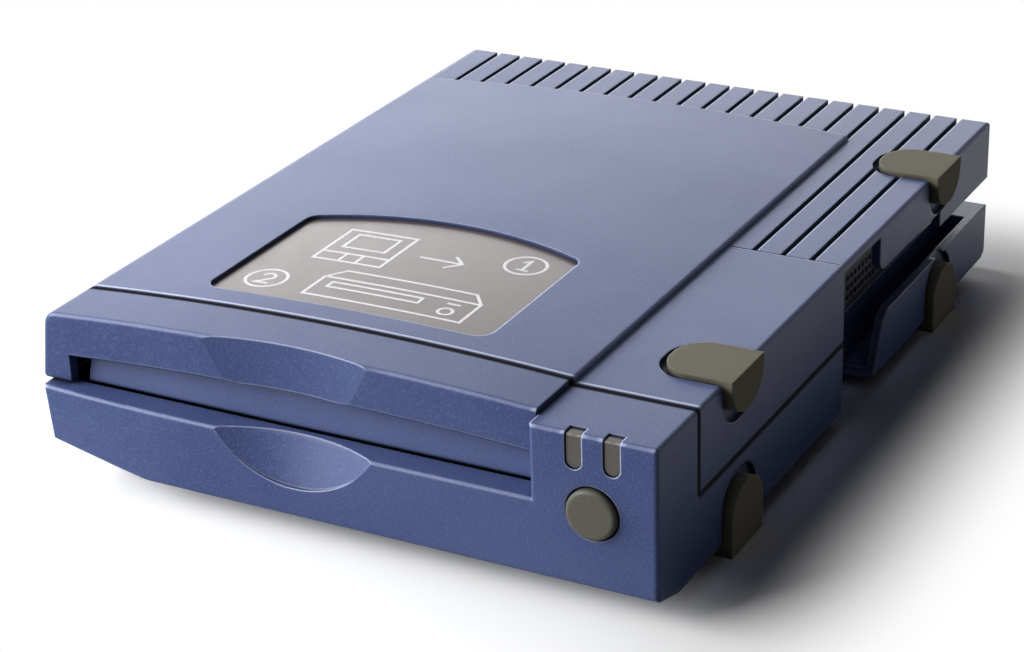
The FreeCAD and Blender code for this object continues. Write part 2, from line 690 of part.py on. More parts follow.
def window_outline(inset, z0, z1):
    """The window's outline with its bowed rear edge, as a block between two heights."""
    x0, x1, y0 = WINDOW_X0 + inset, WINDOW_X1 - inset, WINDOW_Y0 + inset
    side, back = WINDOW_SIDE_Y - inset, WINDOW_BACK_Y - inset
    middle = (x0 + x1) / 2
    corners = [vec(x0, y0, z0), vec(x1, y0, z0), vec(x1, side, z0), vec(x0, side, z0)]
    edges = [line(corners[0], corners[1]), line(corners[1], corners[2]), line(corners[3], corners[0])]
    edges.append(arc(corners[2], vec(middle, back, z0), corners[3]))
    solid = prism(edges, vec(0, 0, z1 - z0))
    radius = WINDOW_R - inset / 2
    return round_edges(solid, radius, lambda c, e: near(c.z, (z0 + z1) / 2) and near(e.Length, z1 - z0))


def top_shell():
    """The crowned slab, the flat strip beside it, the ribbed deck and the side skirt."""
    top_left = upper_left(SLAB_LEFT_TOP)
    slab = crown_block(-UPPER_OUT, SLAB_W, SEAM_Y, SLAB_END, left_part_top, 0, top_left)
    slab = left_rounded(slab)
    slab = round_edges(slab, EDGE_R, lambda c, e: near(c.x, SLAB_W) and near(c.z, SLAB_RIGHT_TOP))
    slab = bevel_edges(slab, REAR_BEVEL, lambda c, e: near(c.y, SLAB_END) and c.z > SLAB_RIGHT_TOP)
    strip = box(SLAB_W - 1, CASE_W, SEAM_Y, CASE_L, right_part_top, STRIP_TOP)
    strip = round_edges(strip, EDGE_R, lambda c, e: near(c.z, STRIP_TOP)
                        and (near(c.x, CASE_W) or near(c.y, CASE_L)))
    deck = polygon([vec(-UPPER_OUT, SLAB_END - 1, left_part_top), vec(SLAB_W, SLAB_END - 1, left_part_top),
                    vec(SLAB_W, SLAB_END - 1, STRIP_TOP), vec(top_left, SLAB_END - 1, STRIP_TOP)],
                   vec(0, CASE_L - SLAB_END + 1, 0))
    deck = left_rounded(deck)
    deck = round_edges(deck, EDGE_R, lambda c, e: near(c.z, STRIP_TOP) and near(c.y, CASE_L))
    outer = fuse(slab, deck, strip)
    low = left_part_top - 1
    high = STRIP_TOP - DECK_THICK
    room = crown_block(WALL - UPPER_OUT, SLAB_W, SEAM_Y - 1, SLAB_END - WALL, low, ROOF, top_left + WALL)
    strip_room = box(SLAB_W - 1, CASE_W - WALL, SEAM_Y - 1, STRIP_RIB_Y - WALL, 0, STRIP_TOP - WALL)
    under_strip = box(SLAB_W - 1, channel_wall_x0, STRIP_RIB_Y - WALL - 1, CASE_L + 1, 0, high)
    under_deck = upper_room(SLAB_W, SLAB_END - WALL - 1, CASE_L + 1, low, high)
    channel = box(channel_wall_x1, CASE_W - WALL, STRIP_RIB_Y, CASE_L + 1, 0, high)
    side_gap = box(CASE_W - WALL - 1, CASE_W + 1, STRIP_RIB_Y, SKIRT_Y, 0, STRIP_TOP - DECK_THICK + 1.8)
    low_gap = box(CASE_W - WALL - 1, CASE_W + 1, SKIRT_Y - 1, CASE_L + 1, 0, SKIRT_REAR_Z)
    step_gap = box(CASE_W - WALL - 1, CASE_W + 1, SKIRT_Y - 1, SKIRT_STEP_Y, 0, SKIRT_Z)
    wall_gap = box(channel_wall_x0 - 1, channel_wall_x1 + 1, STRIP_RIB_Y, CASE_L + 1, 0,
                   LOWER_WALL_Z + SEAM)
    shell = cut(outer, room, strip_room, under_strip, under_deck, channel, side_gap, low_gap, step_gap,
                wall_gap)
    shell = round_edges(shell, SKIRT_R, lambda c, e: near(c.y, SKIRT_Y) and near(c.z, SKIRT_Z)
                        and near(e.Length, WALL))
    bosses = case_bosses(boss_split_z + SEAM, STRIP_TOP - 1, CASE_BOSS_R)
    shell = fuse(shell, *bosses)
    window_top = STRIP_TOP + 10
    window = window_outline(0, 20, window_top).cut(crown_block(WINDOW_X0 - 5, WINDOW_X1 + 5, 0, SLAB_END,
                                                               0, WINDOW_DROP + WINDOW_THICK))
    grille_hole = box(channel_wall_x0 - 1, channel_wall_x1 + 1, GRILLE_Y0, GRILLE_Y1, GRILLE_Z0 + 1,
                      GRILLE_Z1)
    grille_seat = box(channel_wall_x1 - GRILLE_THICK, channel_wall_x1 + 1, GRILLE_Y0 - 1.5,
                      GRILLE_Y1 + 1.5, GRILLE_Z0 - 1, GRILLE_Z1 + 1.5)
    tick = box(SLAB_W + 0.2, CASE_W + 1, STRIP_RIB_Y - TICK_W, STRIP_RIB_Y, STRIP_TOP - TICK_W,
               STRIP_TOP + 1)
    pilots = [rod(x, y, 0, CASE_SCREW_R, CASE_SINK + CASE_SCREW_L + PILOT_SPARE) for x, y in CASE_SCREWS]
    tools = [window, window_outline(WINDOW_RIM, 20, window_top), grille_hole, grille_seat, tick]
    tools += deck_grooves() + pilots + [edge_pad(y, True, True) for y in PAD_Y]
    return cut(shell, *tools)


def front_lip():
    """The strip over the slot: a shallow finger scoop, a post at its left, tabs for the door inside."""
    top_left = upper_left(SLAB_LEFT_TOP)
    outer = crown_block(-UPPER_OUT, lip_right, LIP_FRONT, lip_rear, left_part_top, 0, top_left)
    outer = left_rounded(outer)
    low_mouth = crown_block(LIP_POST_X, BLOCK_X + 1, LIP_FRONT - 1, SEAM_Y + 1, 0, LIP_HEIGHT)
    lip = cut(outer, low_mouth)
    lip = round_edges(lip, EDGE_R, lambda c, e: near(c.y, LIP_FRONT) and c.z > SLAB_LEFT_TOP)
    lip = bevel_edges(lip, LIP_BEVEL, lambda c, e: near(c.y, LIP_FRONT) and 24 < c.z < SLAB_LEFT_TOP - 2
                      and e.Length > 60)
    room = crown_block(WALL - UPPER_OUT, BLOCK_X + 1, LIP_FRONT + LIP_WALL, SEAM_Y + 1, 0, ROOF,
                       top_left + WALL)
    tabs = [box(x0, x0 + LIP_TAB_T, LIP_FRONT + LIP_WALL - 0.5, DOOR_AXIS_Y + 3, LIP_TAB_Z, STRIP_TOP - 1)
            for x0 in (door_left_tab, door_right_tab)]
    tabs = [tab.common(crown_block(0, BLOCK_X, 0, SEAM_Y, 0, ROOF - 0.5)) for tab in tabs]
    pin_hole = rod(door_left_tab - 1, DOOR_AXIS_Y, DOOR_AXIS_Z, DOOR_PIN_R + PIN_PLAY, BLOCK_X, X_AXIS)
    top_r = (SCOOP_HALF ** 2 + SCOOP_DEPTH ** 2) / (2 * SCOOP_DEPTH)
    low_r = top_r - (SCOOP_DEPTH - SCOOP_DEPTH_LOW)
    z_low, z_high = crown_z(SCOOP_X) - LIP_HEIGHT, crown_z(SCOOP_X)
    slope = (top_r - low_r) / (z_high - z_low)

    def scoop(inset):
        centre = vec(SCOOP_X, LIP_FRONT + SCOOP_DEPTH - top_r + inset, z_low - 2)
        return Part.makeCone(low_r - slope * 2, top_r + slope * 2, z_high - z_low + 4, centre)

    inner_wall = box(SCOOP_X - SCOOP_HALF - 6, SCOOP_X + SCOOP_HALF + 6, LIP_FRONT + 0.5,
                     LIP_FRONT + LIP_WALL + SCOOP_DEPTH, z_low, z_high)
    under_roof = crown_block(1, BLOCK_X - 1, 0, SEAM_Y, z_low + 1, ROOF - 0.8)
    backing = inner_wall.common(scoop(LIP_WALL)).common(under_roof)
    backing = backing.cut(low_mouth)
    return cut(fuse(cut(lip, room), backing, *tabs), scoop(0), pin_hole)


def window_panel():
    """Smoked clear panel, crowned like the slab and set below it."""
    crowned = crown_block(WINDOW_X0 - 5, WINDOW_X1 + 5, 0, SLAB_END, 20, WINDOW_DROP)
    under = crown_block(WINDOW_X0 - 5, WINDOW_X1 + 5, 0, SLAB_END, 10, WINDOW_DROP + WINDOW_THICK)
    return window_outline(FIT, 20, STRIP_TOP + 10).common(crowned.cut(under)).Solids[0]


def eject_button():
    """Cap with a soft front edge, a flange behind the fascia and a stem to the switch."""
    cap = rod(BUTTON_X, -BUTTON_PROUD, BUTTON_Z, BUTTON_R, BUTTON_PROUD + flange_y + 0.1, Y_AXIS)
    cap = round_edges(cap, EDGE_R, lambda c, e: near(c.y, -BUTTON_PROUD))
    flange = rod(BUTTON_X, flange_y, BUTTON_Z, BUTTON_FLANGE_R, BUTTON_FLANGE_T, Y_AXIS)
    stem_end = PANEL_BOARD_Y - SWITCH_H - BUTTON_TRAVEL - BUTTON_GAP
    stem = rod(BUTTON_X, flange_y, BUTTON_Z, STEM_R, stem_end - flange_y, Y_AXIS)
    return fuse(cap, flange, stem)


def coil_spring(radius, wire, length, turns):
    """A square-wire spring along +Z, its turns made of half-turn arcs."""
    rise = length / turns / 2
    arcs = []
    for half in range(int(turns * 2)):
        side = 1 if half % 2 == 0 else -1
        z = rise * half
        arcs.append(arc(vec(side * radius, 0, z), vec(0, side * radius, z + rise / 2),
                        vec(-side * radius, 0, z + rise)))
    half = wire / 2
    section = Part.makePolygon([vec(radius + u * half, 0, w * half)
                                for u, w in ((-1, -1), (1, -1), (1, 1), (-1, 1), (-1, -1))])
    return Part.Wire(arcs).makePipeShell([section], True, False)


def button_spring():
    """A bowed leaf round the stem: its middle bears on the flange, its ends on the guide wall."""
    crest = flange_y + BUTTON_FLANGE_T + PIN_PLAY
    foot_y = GUIDE_Y - PIN_PLAY
    low_z = BUTTON_Z - LEAF_W / 2
    foot0, foot1 = vec(BUTTON_X - LEAF_HALF, foot_y, low_z), vec(BUTTON_X + LEAF_HALF, foot_y, low_z)
    inner0, inner1 = foot0 + vec(LEAF_T, 0, 0), foot1 - vec(LEAF_T, 0, 0)
    edges = [line(foot0, inner0), line(foot1, inner1), arc(foot0, vec(BUTTON_X, crest, low_z), foot1),
             arc(inner0, vec(BUTTON_X, crest + LEAF_T, low_z), inner1)]
    eye = rod(BUTTON_X, crest - 1, BUTTON_Z, STEM_R + LEAF_T, GUIDE_Y - crest, Y_AXIS)
    return cut(prism(edges, vec(0, 0, LEAF_W)), eye)


def light_pipe(x):
    """A clear pipe that fills its slot on the front and over the edge, with an arm to its lamp."""
    half = LAMP_W / 2 - FIT
    toe_z = LAMP_BOTTOM + LAMP_W / 2
    face = box(x - half, x + half, LAMP_SINK, LAMP_WRAP - FIT, toe_z, STRIP_TOP - LAMP_SINK)
    toe = rod(x, LAMP_SINK, toe_z, half, LAMP_WRAP - FIT - LAMP_SINK, Y_AXIS)
    arm = box(x - LAMP_ARM / 2, x + LAMP_ARM / 2, LAMP_SINK, PANEL_BOARD_Y - LED_T - LAMP_AIR,
              lamp_arm_z - LAMP_ARM / 2, lamp_arm_z + LAMP_ARM / 2)
    pipe = fuse(face, toe, arm)
    return round_edges(pipe, 0.6, lambda c, e: near(c.y, LAMP_SINK) and near(c.z, STRIP_TOP - LAMP_SINK))


def panel_board():
    return box(BUTTON_X - PANEL_BOARD_HALF, BUTTON_X + PANEL_BOARD_HALF, PANEL_BOARD_Y,
               PANEL_BOARD_Y + BOARD_T, PANEL_BOARD_Z0, PANEL_BOARD_Z1)


def status_leds():
    """Flat lamps on the small board, each at the end of its light pipe."""
    return [box(x - LED_HALF, x + LED_HALF, PANEL_BOARD_Y - LED_T, PANEL_BOARD_Y, lamp_arm_z - LED_HALF,
                lamp_arm_z + LED_HALF) for x in LAMP_X]


def button_switch():
    base = box(BUTTON_X - 3, BUTTON_X + 3, PANEL_BOARD_Y - SWITCH_H + 0.8, PANEL_BOARD_Y, BUTTON_Z - 3,
               BUTTON_Z + 3)
    tip = rod(BUTTON_X, PANEL_BOARD_Y - SWITCH_H, BUTTON_Z, 1.7, 1.2, Y_AXIS)
    return fuse(base, tip)


def disk_door():
    """A flap across the slot that hangs from two pins and leans forward at rest."""
    knuckle_x0 = door_x0 + DOOR_SPRING_ROOM
    plate = box(door_x0, door_x1, -DOOR_T / 2, DOOR_T / 2, -DOOR_LEN, -DOOR_KNUCKLE_R - 0.4)
    plate = round_edges(plate, DOOR_T / 2 - 0.1, lambda c, e: near(c.z, -DOOR_LEN) and e.Length > 50)
    web = box(knuckle_x0, door_x1, -DOOR_T / 2, DOOR_T / 2, -DOOR_KNUCKLE_R - 0.5, 0)
    knuckle = rod(knuckle_x0, 0, 0, DOOR_KNUCKLE_R, door_x1 - knuckle_x0, X_AXIS)
    pin = rod(door_left_tab, 0, 0, DOOR_PIN_R, door_right_tab + LIP_TAB_T - door_left_tab, X_AXIS)
    door = fuse(plate, web, knuckle, pin)
    door.rotate(vec(0, 0, 0), X_AXIS, -DOOR_TILT)
    door.translate(vec(0, DOOR_AXIS_Y, DOOR_AXIS_Z))
    return door


def door_spring():
    """A torsion spring round the door's left pin."""
    start = door_x0 + DOOR_WIRE
    length = DOOR_SPRING_ROOM - 2 * DOOR_WIRE - 0.2
    spring = coil_spring(DOOR_PIN_R + DOOR_WIRE / 2 + 0.1, DOOR_WIRE, length, DOOR_TURNS)
    spring.rotate(vec(0, 0, 0), Y_AXIS, 90)
    spring.translate(vec(start, DOOR_AXIS_Y, DOOR_AXIS_Z))
    return spring


def chassis_frame():
    """Folded sheet frame: floor, side rails with tray ledges, rod tabs and ramps."""
    floor = box(CHASSIS_X0, CHASSIS_X1, CHASSIS_Y0, CHASSIS_Y1, CHASSIS_Z, chassis_top)
    pieces = []
    for x in (CHASSIS_X0, CHASSIS_X1 - SHEET):
        pieces.append(box(x, x + SHEET, CHASSIS_Y0, CHASSIS_Y1, CHASSIS_Z, RAIL_TOP))
    for x in (CHASSIS_X0, CHASSIS_X1 - SHEET - TRAY_LEDGE_W):
        pieces.append(box(x, x + SHEET + TRAY_LEDGE_W, CHASSIS_Y0, ROD_TAB_Y[0], TRAY_LEDGE_Z,
                          TRAY_LEDGE_Z + SHEET))
    for y in ROD_TAB_Y:
        pieces.append(box(BAY_X - ROD_X - 4, BAY_X + ROD_X + 4, y, y + ROD_TAB_T, CHASSIS_Z + 0.5,
                          ROD_Z + ROD_R + (2.4 if y > 120 else -0.9)))
    slope = MOTOR_LIFT / TRAY_TRAVEL
    angle = math.atan(slope)
    follower_z = MOTOR_PLATE_Z + SHEET / 2
    surface = follower_z - (FOLLOWER_R + RAMP_PLAY) / math.cos(angle)
    start = MOTOR_Y - (surface - chassis_top) / slope
    end = MOTOR_Y + TRAY_TRAVEL + RAMP_PAST
    for side in (-1, 1):
        x = BAY_X + side * (MOTOR_PLATE_R + MOTOR_EAR - 1.5)
        ramp_x = x - RAMP_W / 2
        pieces.append(polygon([vec(ramp_x, start - 1, chassis_top - 0.3), vec(ramp_x, start, chassis_top),
                               vec(ramp_x, end, chassis_top + slope * (end - start)),
                               vec(ramp_x, end + RAMP_BACK, chassis_top - 0.3)], vec(RAMP_W, 0, 0)))
    frame = fuse(floor, *pieces)
    holes = [rod(x, y, CHASSIS_Z - 1, CHASSIS_SCREW_R + 0.2, 4) for x, y in CHASSIS_SCREWS]
    holes += [rod(BAY_X + side * ROD_X, ROD_TAB_Y[0] - 1, ROD_Z, ROD_R, 60, Y_AXIS) for side in (-1, 1)]
    holes.append(rod(LATCH_X, LATCH_Y, CHASSIS_Z - 1, LATCH_PIN_R, 4))
    return cut(frame, *holes)


def top_plate():
    """Sheet cover over the bay, seated on the rails, with a window for the label."""
    plate = box(CHASSIS_X0, CHASSIS_X1, CHASSIS_Y0 + 1, CHASSIS_Y1, RAIL_TOP, RAIL_TOP + SHEET)
    view = box(BAY_X - 30, BAY_X + 30, WINDOW_Y0 + 6, WINDOW_SIDE_Y, RAIL_TOP - 1, RAIL_TOP + 2)
    heads = box(BAY_X - 16, BAY_X + 16, 100, 128, RAIL_TOP - 1, RAIL_TOP + 2)
    return cut(plate, view, heads)


tray_z = TRAY_LEDGE_Z + SHEET + TRAY_GAP
tray_top = tray_z + TRAY_T
post_places = [(BAY_X + x * POST_X, MOTOR_Y + y * POST_Y) for x in (-1, 1) for y in (-1, 1)]


def disk_tray():
    """Sliding plate under the cartridge, with an end stop and room for the motor and the heads."""
    x0 = CHASSIS_X0 + SHEET + TRAY_SIDE_GAP
    x1 = CHASSIS_X1 - SHEET - TRAY_SIDE_GAP
    plate = box(x0, x1, TRAY_Y0, TRAY_STOP_Y + TRAY_STOP_T, tray_z, tray_top)
    stop = box(x0 + 2, x1 - 2, TRAY_STOP_Y, TRAY_STOP_Y + TRAY_STOP_T, tray_z, tray_top + TRAY_STOP_H)
    lug = box(LATCH_X - 9.5, LATCH_X - 7.5, TRAY_STOP_Y - 3.0, TRAY_STOP_Y - 1.0, MOTOR_PLATE_Z + 0.8,
              tray_z + 0.5)
    posts = [rod(x, y, MOTOR_PLATE_Z + 0.3, POST_R, tray_z - MOTOR_PLATE_Z) for x, y in post_places]
    hole = MOTOR_PLATE_R + MOTOR_HOLE_GAP
    motor_hole = box(BAY_X - hole, BAY_X + hole, TRAY_Y0 + TRAY_BAR, MOTOR_Y + hole, tray_z - 1, tray_top + 1)
    arm_gap = box(BAY_X - ARM_GAP_HALF, BAY_X + ARM_GAP_HALF, MOTOR_Y + hole - 1, TRAY_STOP_Y + 5,
                  tray_z - 1, tray_top + TRAY_STOP_H + 1)
    plate = cut(fuse(plate, stop, lug), motor_hole, arm_gap)
    return fuse(plate, *posts)


def motor_plate():
    """Plate that carries the motor, with guide eyes round the tray's posts and two followers."""
    plate = rod(BAY_X, MOTOR_Y, MOTOR_PLATE_Z, MOTOR_PLATE_R, SHEET)
    wing = POST_X + POST_EYE_R
    wings = [box(BAY_X - wing, BAY_X + wing, MOTOR_Y + side * POST_Y - POST_EYE_R,
                 MOTOR_Y + side * POST_Y + POST_EYE_R, MOTOR_PLATE_Z, MOTOR_PLATE_Z + SHEET)
             for side in (-1, 1)]
    ear = MOTOR_PLATE_R + MOTOR_EAR
    ears = box(BAY_X - ear, BAY_X + ear, MOTOR_Y - EAR_HALF, MOTOR_Y + EAR_HALF, MOTOR_PLATE_Z,
               MOTOR_PLATE_Z + SHEET)
    followers = [rod(BAY_X + side * (ear - 1.5) - 1.5, MOTOR_Y, MOTOR_PLATE_Z + SHEET / 2, FOLLOWER_R, 3,
                     X_AXIS) for side in (-1, 1)]
    body = fuse(plate, ears, *(wings + followers))
    eyes = [rod(x, y, MOTOR_PLATE_Z - 1, POST_R + PIN_PLAY, 4) for x, y in post_places]
    bearing = rod(BAY_X, MOTOR_Y, MOTOR_PLATE_Z, BEARING_R, SHEET + STATOR_H)
    bore = rod(BAY_X, MOTOR_Y, MOTOR_PLATE_Z - 1, SPINDLE_R + PIN_PLAY, 10)
    return cut(fuse(body, bearing), bore, *eyes)


def motor_coils():
    """Flat coils in a ring on the motor plate."""
    coils = []
    top = MOTOR_PLATE_Z + SHEET
    for index in range(COIL_COUNT):
        half = math.radians(360 / COIL_COUNT / 2 - 4)
        inner, outer = BEARING_R + 3, STATOR_R
        points = []
        for radius, turn in ((inner, -half), (outer, -half), (outer, half), (inner, half)):
            points.append(vec(radius * math.cos(turn), radius * math.sin(turn), 0))
        coil = polygon(points, vec(0, 0, STATOR_H - 0.4))
        coil.rotate(vec(0, 0, 0), Z_AXIS, 360 / COIL_COUNT * index)
        coil.translate(vec(BAY_X, MOTOR_Y, top))
        coils.append(coil)
    return coils


def spindle_rotor():
    """Cup with the hub that grips the disk's centre, on its shaft."""
    cup_z = MOTOR_PLATE_Z + SHEET + STATOR_H + ROTOR_GAP
    cup = rod(BAY_X, MOTOR_Y, cup_z, ROTOR_R, ROTOR_T)
    rim = cut(rod(BAY_X, MOTOR_Y, cup_z - STATOR_H, ROTOR_R, STATOR_H + 0.2),
              rod(BAY_X, MOTOR_Y, cup_z - STATOR_H - 1, ROTOR_R - 1.6, STATOR_H + 3))
    hub = rod(BAY_X, MOTOR_Y, cup_z + ROTOR_T - 0.1, HUB_R, HUB_H + 0.1)
    pin = rod(BAY_X, MOTOR_Y, cup_z + ROTOR_T, HUB_PIN_R, HUB_H + HUB_PIN_H)
    shaft = rod(BAY_X, MOTOR_Y, MOTOR_PLATE_Z + 0.2, SPINDLE_R, cup_z - MOTOR_PLATE_Z)
    drive_pin = rod(BAY_X + HUB_R - 3, MOTOR_Y, cup_z + ROTOR_T, 1.0, HUB_H + HUB_PIN_H)
    return fuse(cup, rim, hub, pin, shaft, drive_pin)


def head_carriage():
    """Block on the two rods, with a post for the arms and wings to the coils."""
    block = box(BAY_X - CARRIAGE_HALF, BAY_X + CARRIAGE_HALF, CARRIAGE_Y, CARRIAGE_Y + CARRIAGE_L,
                CARRIAGE_Z0, CARRIAGE_Z1)
    post = box(BAY_X - 6, BAY_X + 6, CARRIAGE_Y + 7, CARRIAGE_Y + 13, CARRIAGE_Z1 - 0.5, LOWER_ARM_Z)
    wings = box(BAY_X - COIL_IN + COIL_WIRE, BAY_X + COIL_IN - COIL_WIRE, CARRIAGE_Y + 5,
                CARRIAGE_Y + 11, 15.0, 18.6)
    body = fuse(block, post, wings)
    bores = [rod(BAY_X + side * ROD_X, CARRIAGE_Y - 1, ROD_Z, ROD_R + PIN_PLAY, CARRIAGE_L + 2, Y_AXIS)
             for side in (-1, 1)]
    return cut(body, *bores)


def head_arm(z, head_z):
    """Thin tapered arm with a head at its tip."""
    root, tip = CARRIAGE_Y + 13, ARM_TIP_Y
    arm = polygon([vec(BAY_X - 6, root, z), vec(BAY_X + 6, root, z), vec(BAY_X + 6, root - 8, z),
                   vec(BAY_X + 2, tip, z), vec(BAY_X - 2, tip, z), vec(BAY_X - 6, root - 8, z)],
                  vec(0, 0, ARM_T))
    head = box(BAY_X - 1.5, BAY_X + 1.5, tip + 0.5, tip + 3.5, head_z, head_z + HEAD_T)
    return fuse(arm, head)


def arm_spacer():
    """The spacer that holds the upper arm over the lower one."""
    return box(BAY_X - 5, BAY_X + 5, CARRIAGE_Y + 8, CARRIAGE_Y + 12, LOWER_ARM_Z + ARM_T, UPPER_ARM_Z)


def voice_coils():
    rings = []
    for side in (-1, 1):
        x0, x1 = sorted((BAY_X + side * (COIL_IN - COIL_WIRE), BAY_X + side * COIL_OUT))
        ring = box(x0, x1, CARRIAGE_Y + 3, CARRIAGE_Y + 3 + COIL_LEN, COIL_Z0, COIL_Z1)
        hole = box(x0 + COIL_WIRE, x1 - COIL_WIRE, CARRIAGE_Y, CARRIAGE_Y + 20, COIL_Z0 + COIL_WIRE,
                   COIL_Z1 - COIL_WIRE)
        rings.append(cut(ring, hole))
    return rings


def magnet_yokes():
    """Closed steel loops that stand on the chassis, one each side of the carriage."""
    yokes = []
    inner = (COIL_IN + COIL_OUT - COIL_WIRE) / 2
    outer = COIL_OUT + MAGNET_GAP + MAGNET_T
    z0, z1 = COIL_Z0 + COIL_WIRE + 0.8, COIL_Z1 - COIL_WIRE - 0.8
    for side in (-1, 1):
        x0, x1 = sorted((BAY_X + side * (inner - YOKE_T / 2), BAY_X + side * (inner + YOKE_T / 2)))
        core = box(x0, x1, YOKE_Y0, YOKE_Y1, z0, z1)
        w0, w1 = sorted((BAY_X + side * outer, BAY_X + side * (outer + YOKE_T)))
        wall = box(w0, w1, YOKE_Y0, YOKE_Y1, chassis_top, COIL_Z1 + 0.6)
        ends = [box(min(x0, w0), max(x1, w1), y, y + 1.2, z0, z1) for y in (YOKE_Y0, YOKE_Y1 - 1.2)]
        yokes.append(fuse(core, wall, *ends))
    return yokes


def drive_magnets():
    blocks = []
    for side in (-1, 1):
        x0, x1 = sorted((BAY_X + side * (COIL_OUT + MAGNET_GAP), BAY_X + side * (COIL_OUT + MAGNET_GAP
                                                                               + MAGNET_T)))
        blocks.append(box(x0, x1, YOKE_Y0 + 1.4, YOKE_Y1 - 1.4, COIL_Z0 + 0.3, COIL_Z1 - 0.3))
    return blocks


def head_flex():
    """A flat cable in one loop from the rear rod tab to the carriage's top."""
    x0 = BAY_X - 4
    tab_top = ROD_Z + ROD_R + 2.4
    low, high = tab_top + 0.02, tab_top + 3.2
    y0, y1 = ROD_TAB_Y[1] + 0.2, CARRIAGE_Y + CARRIAGE_L - 0.6
    thick = 0.25
    middle = (low + high) / 2
    back = y0 + ROD_TAB_T - 0.4
    bend = (high - low) / 2
    outer = [line(vec(x0, y0, low), vec(x0, back, low)),
             arc(vec(x0, back, low), vec(x0, back + bend, middle), vec(x0, back, high)),
             line(vec(x0, back, high), vec(x0, y1, high)), line(vec(x0, y1, high), vec(x0, y1, high - thick)),
             line(vec(x0, y1, high - thick), vec(x0, back, high - thick)),
             arc(vec(x0, back, high - thick), vec(x0, back + bend - thick, middle),
                 vec(x0, back, low + thick)),
             line(vec(x0, back, low + thick), vec(x0, y0, low + thick)),
             line(vec(x0, y0, low + thick), vec(x0, y0, low))]
    return prism(outer, vec(8, 0, 0))


def solenoid():
    """Coil box of the eject solenoid with the bore of its plunger."""
    body = box(PLUNGER_X - SOLENOID_W / 2, PLUNGER_X + SOLENOID_W / 2, SOLENOID_Y, SOLENOID_Y + SOLENOID_L,
               chassis_top, chassis_top + SOLENOID_H)
    z = chassis_top + SOLENOID_H / 2
    return cut(body, rod(PLUNGER_X, SOLENOID_Y - 1, z, PLUNGER_R + PIN_PLAY, 14, Y_AXIS))


def solenoid_plunger():
    z = chassis_top + SOLENOID_H / 2
    bar = rod(PLUNGER_X, LATCH_Y + 3.2, z, PLUNGER_R, SOLENOID_Y + 8 - LATCH_Y - 3.2, Y_AXIS)
    head = rod(PLUNGER_X, LATCH_Y + 3.2, z, PLUNGER_R + 1.2, 1.2, Y_AXIS)
    return fuse(bar, head)


def latch_lever():
    """Bell crank on a pin: one arm by the plunger, the other with the hook for the tray's lug."""
    z = latch_z
    eye = rod(LATCH_X, LATCH_Y, z, 3.0, LATCH_T)
    arm = box(LATCH_X, LATCH_X + LATCH_ARM + 2, LATCH_Y - 1.5, LATCH_Y + 1.5, z, z + LATCH_T)
    horn = box(LATCH_X + LATCH_ARM - 1, LATCH_X + LATCH_ARM + 2, LATCH_Y - 1.5, LATCH_Y + 1.5, z,
               chassis_top + SOLENOID_H / 2 + 2)
    hook = polygon([vec(LATCH_X - 2.5, LATCH_Y, z), vec(LATCH_X + 2.5, LATCH_Y, z),
                    vec(LATCH_X - 1.5, LATCH_Y - 17, z), vec(LATCH_X - 5.5, LATCH_Y - 17, z),
                    vec(LATCH_X - 5.5, LATCH_Y - 15, z), vec(LATCH_X - 3.5, LATCH_Y - 15, z)],
                   vec(0, 0, LATCH_T))
    lever = fuse(eye, arm, horn, hook)
    return cut(lever, rod(LATCH_X, LATCH_Y, z - 1, LATCH_PIN_R + PIN_PLAY, LATCH_T + 2))


def latch_pin():
    """Shouldered pin riveted in the chassis."""
    shaft = rod(LATCH_X, LATCH_Y, CHASSIS_Z, LATCH_PIN_R, latch_z + LATCH_T + 1.0 - CHASSIS_Z)
    collar = rod(LATCH_X, LATCH_Y, chassis_top, LATCH_PIN_R + 1, latch_z - 0.1 - chassis_top)
    head = rod(LATCH_X, LATCH_Y, latch_z + LATCH_T + 0.1, LATCH_PIN_R + 1, 0.9)
    return fuse(shaft, collar, head)


def circuit_board():
    """Main board on its stands, wider at the rear under the ports."""
    narrow = box(BOARD_X0, BOARD_X1, BOARD_Y0, BOARD_Y1, BOARD_Z, board_top)
    wide = box(BOARD_X1 - 1, BOARD_WIDE_X1, BOARD_WIDE_Y, BOARD_Y1, BOARD_Z, board_top)
    holes = [pillar(x, y, CHASSIS_POST / 2 + 0.4, BOARD_Z - 1, board_top + 1) for x, y in CHASSIS_SCREWS]
    return cut(fuse(narrow, wide), *holes)


def board_chips():
    """Chips and capacitors on the main board."""
    chips = [box(x0, x1, y0, y1, board_top, board_top + height) for x0, x1, y0, y1, height in CHIPS]
    return chips + [rod(x, y, board_top, CAPACITOR_R, CAPACITOR_H) for x, y in CAPACITORS]


def port_outline(width, height, y0, y1, z=PORT_Z, x=0.0, radius=2.0):
    """A D-shaped block, wider at its top, with rounded corners."""
    lean = math.tan(math.radians(PORT_TAPER)) * height / 2
    top, low = width / 2, width / 2 - 2 * lean
    solid = polygon([vec(x - low, y0, z - height / 2), vec(x + low, y0, z - height / 2),
                     vec(x + top, y0, z + height / 2), vec(x - top, y0, z + height / 2)],
                    vec(0, y1 - y0, 0))
    return round_edges(solid, radius, lambda c, e: near(c.y, (y0 + y1) / 2))


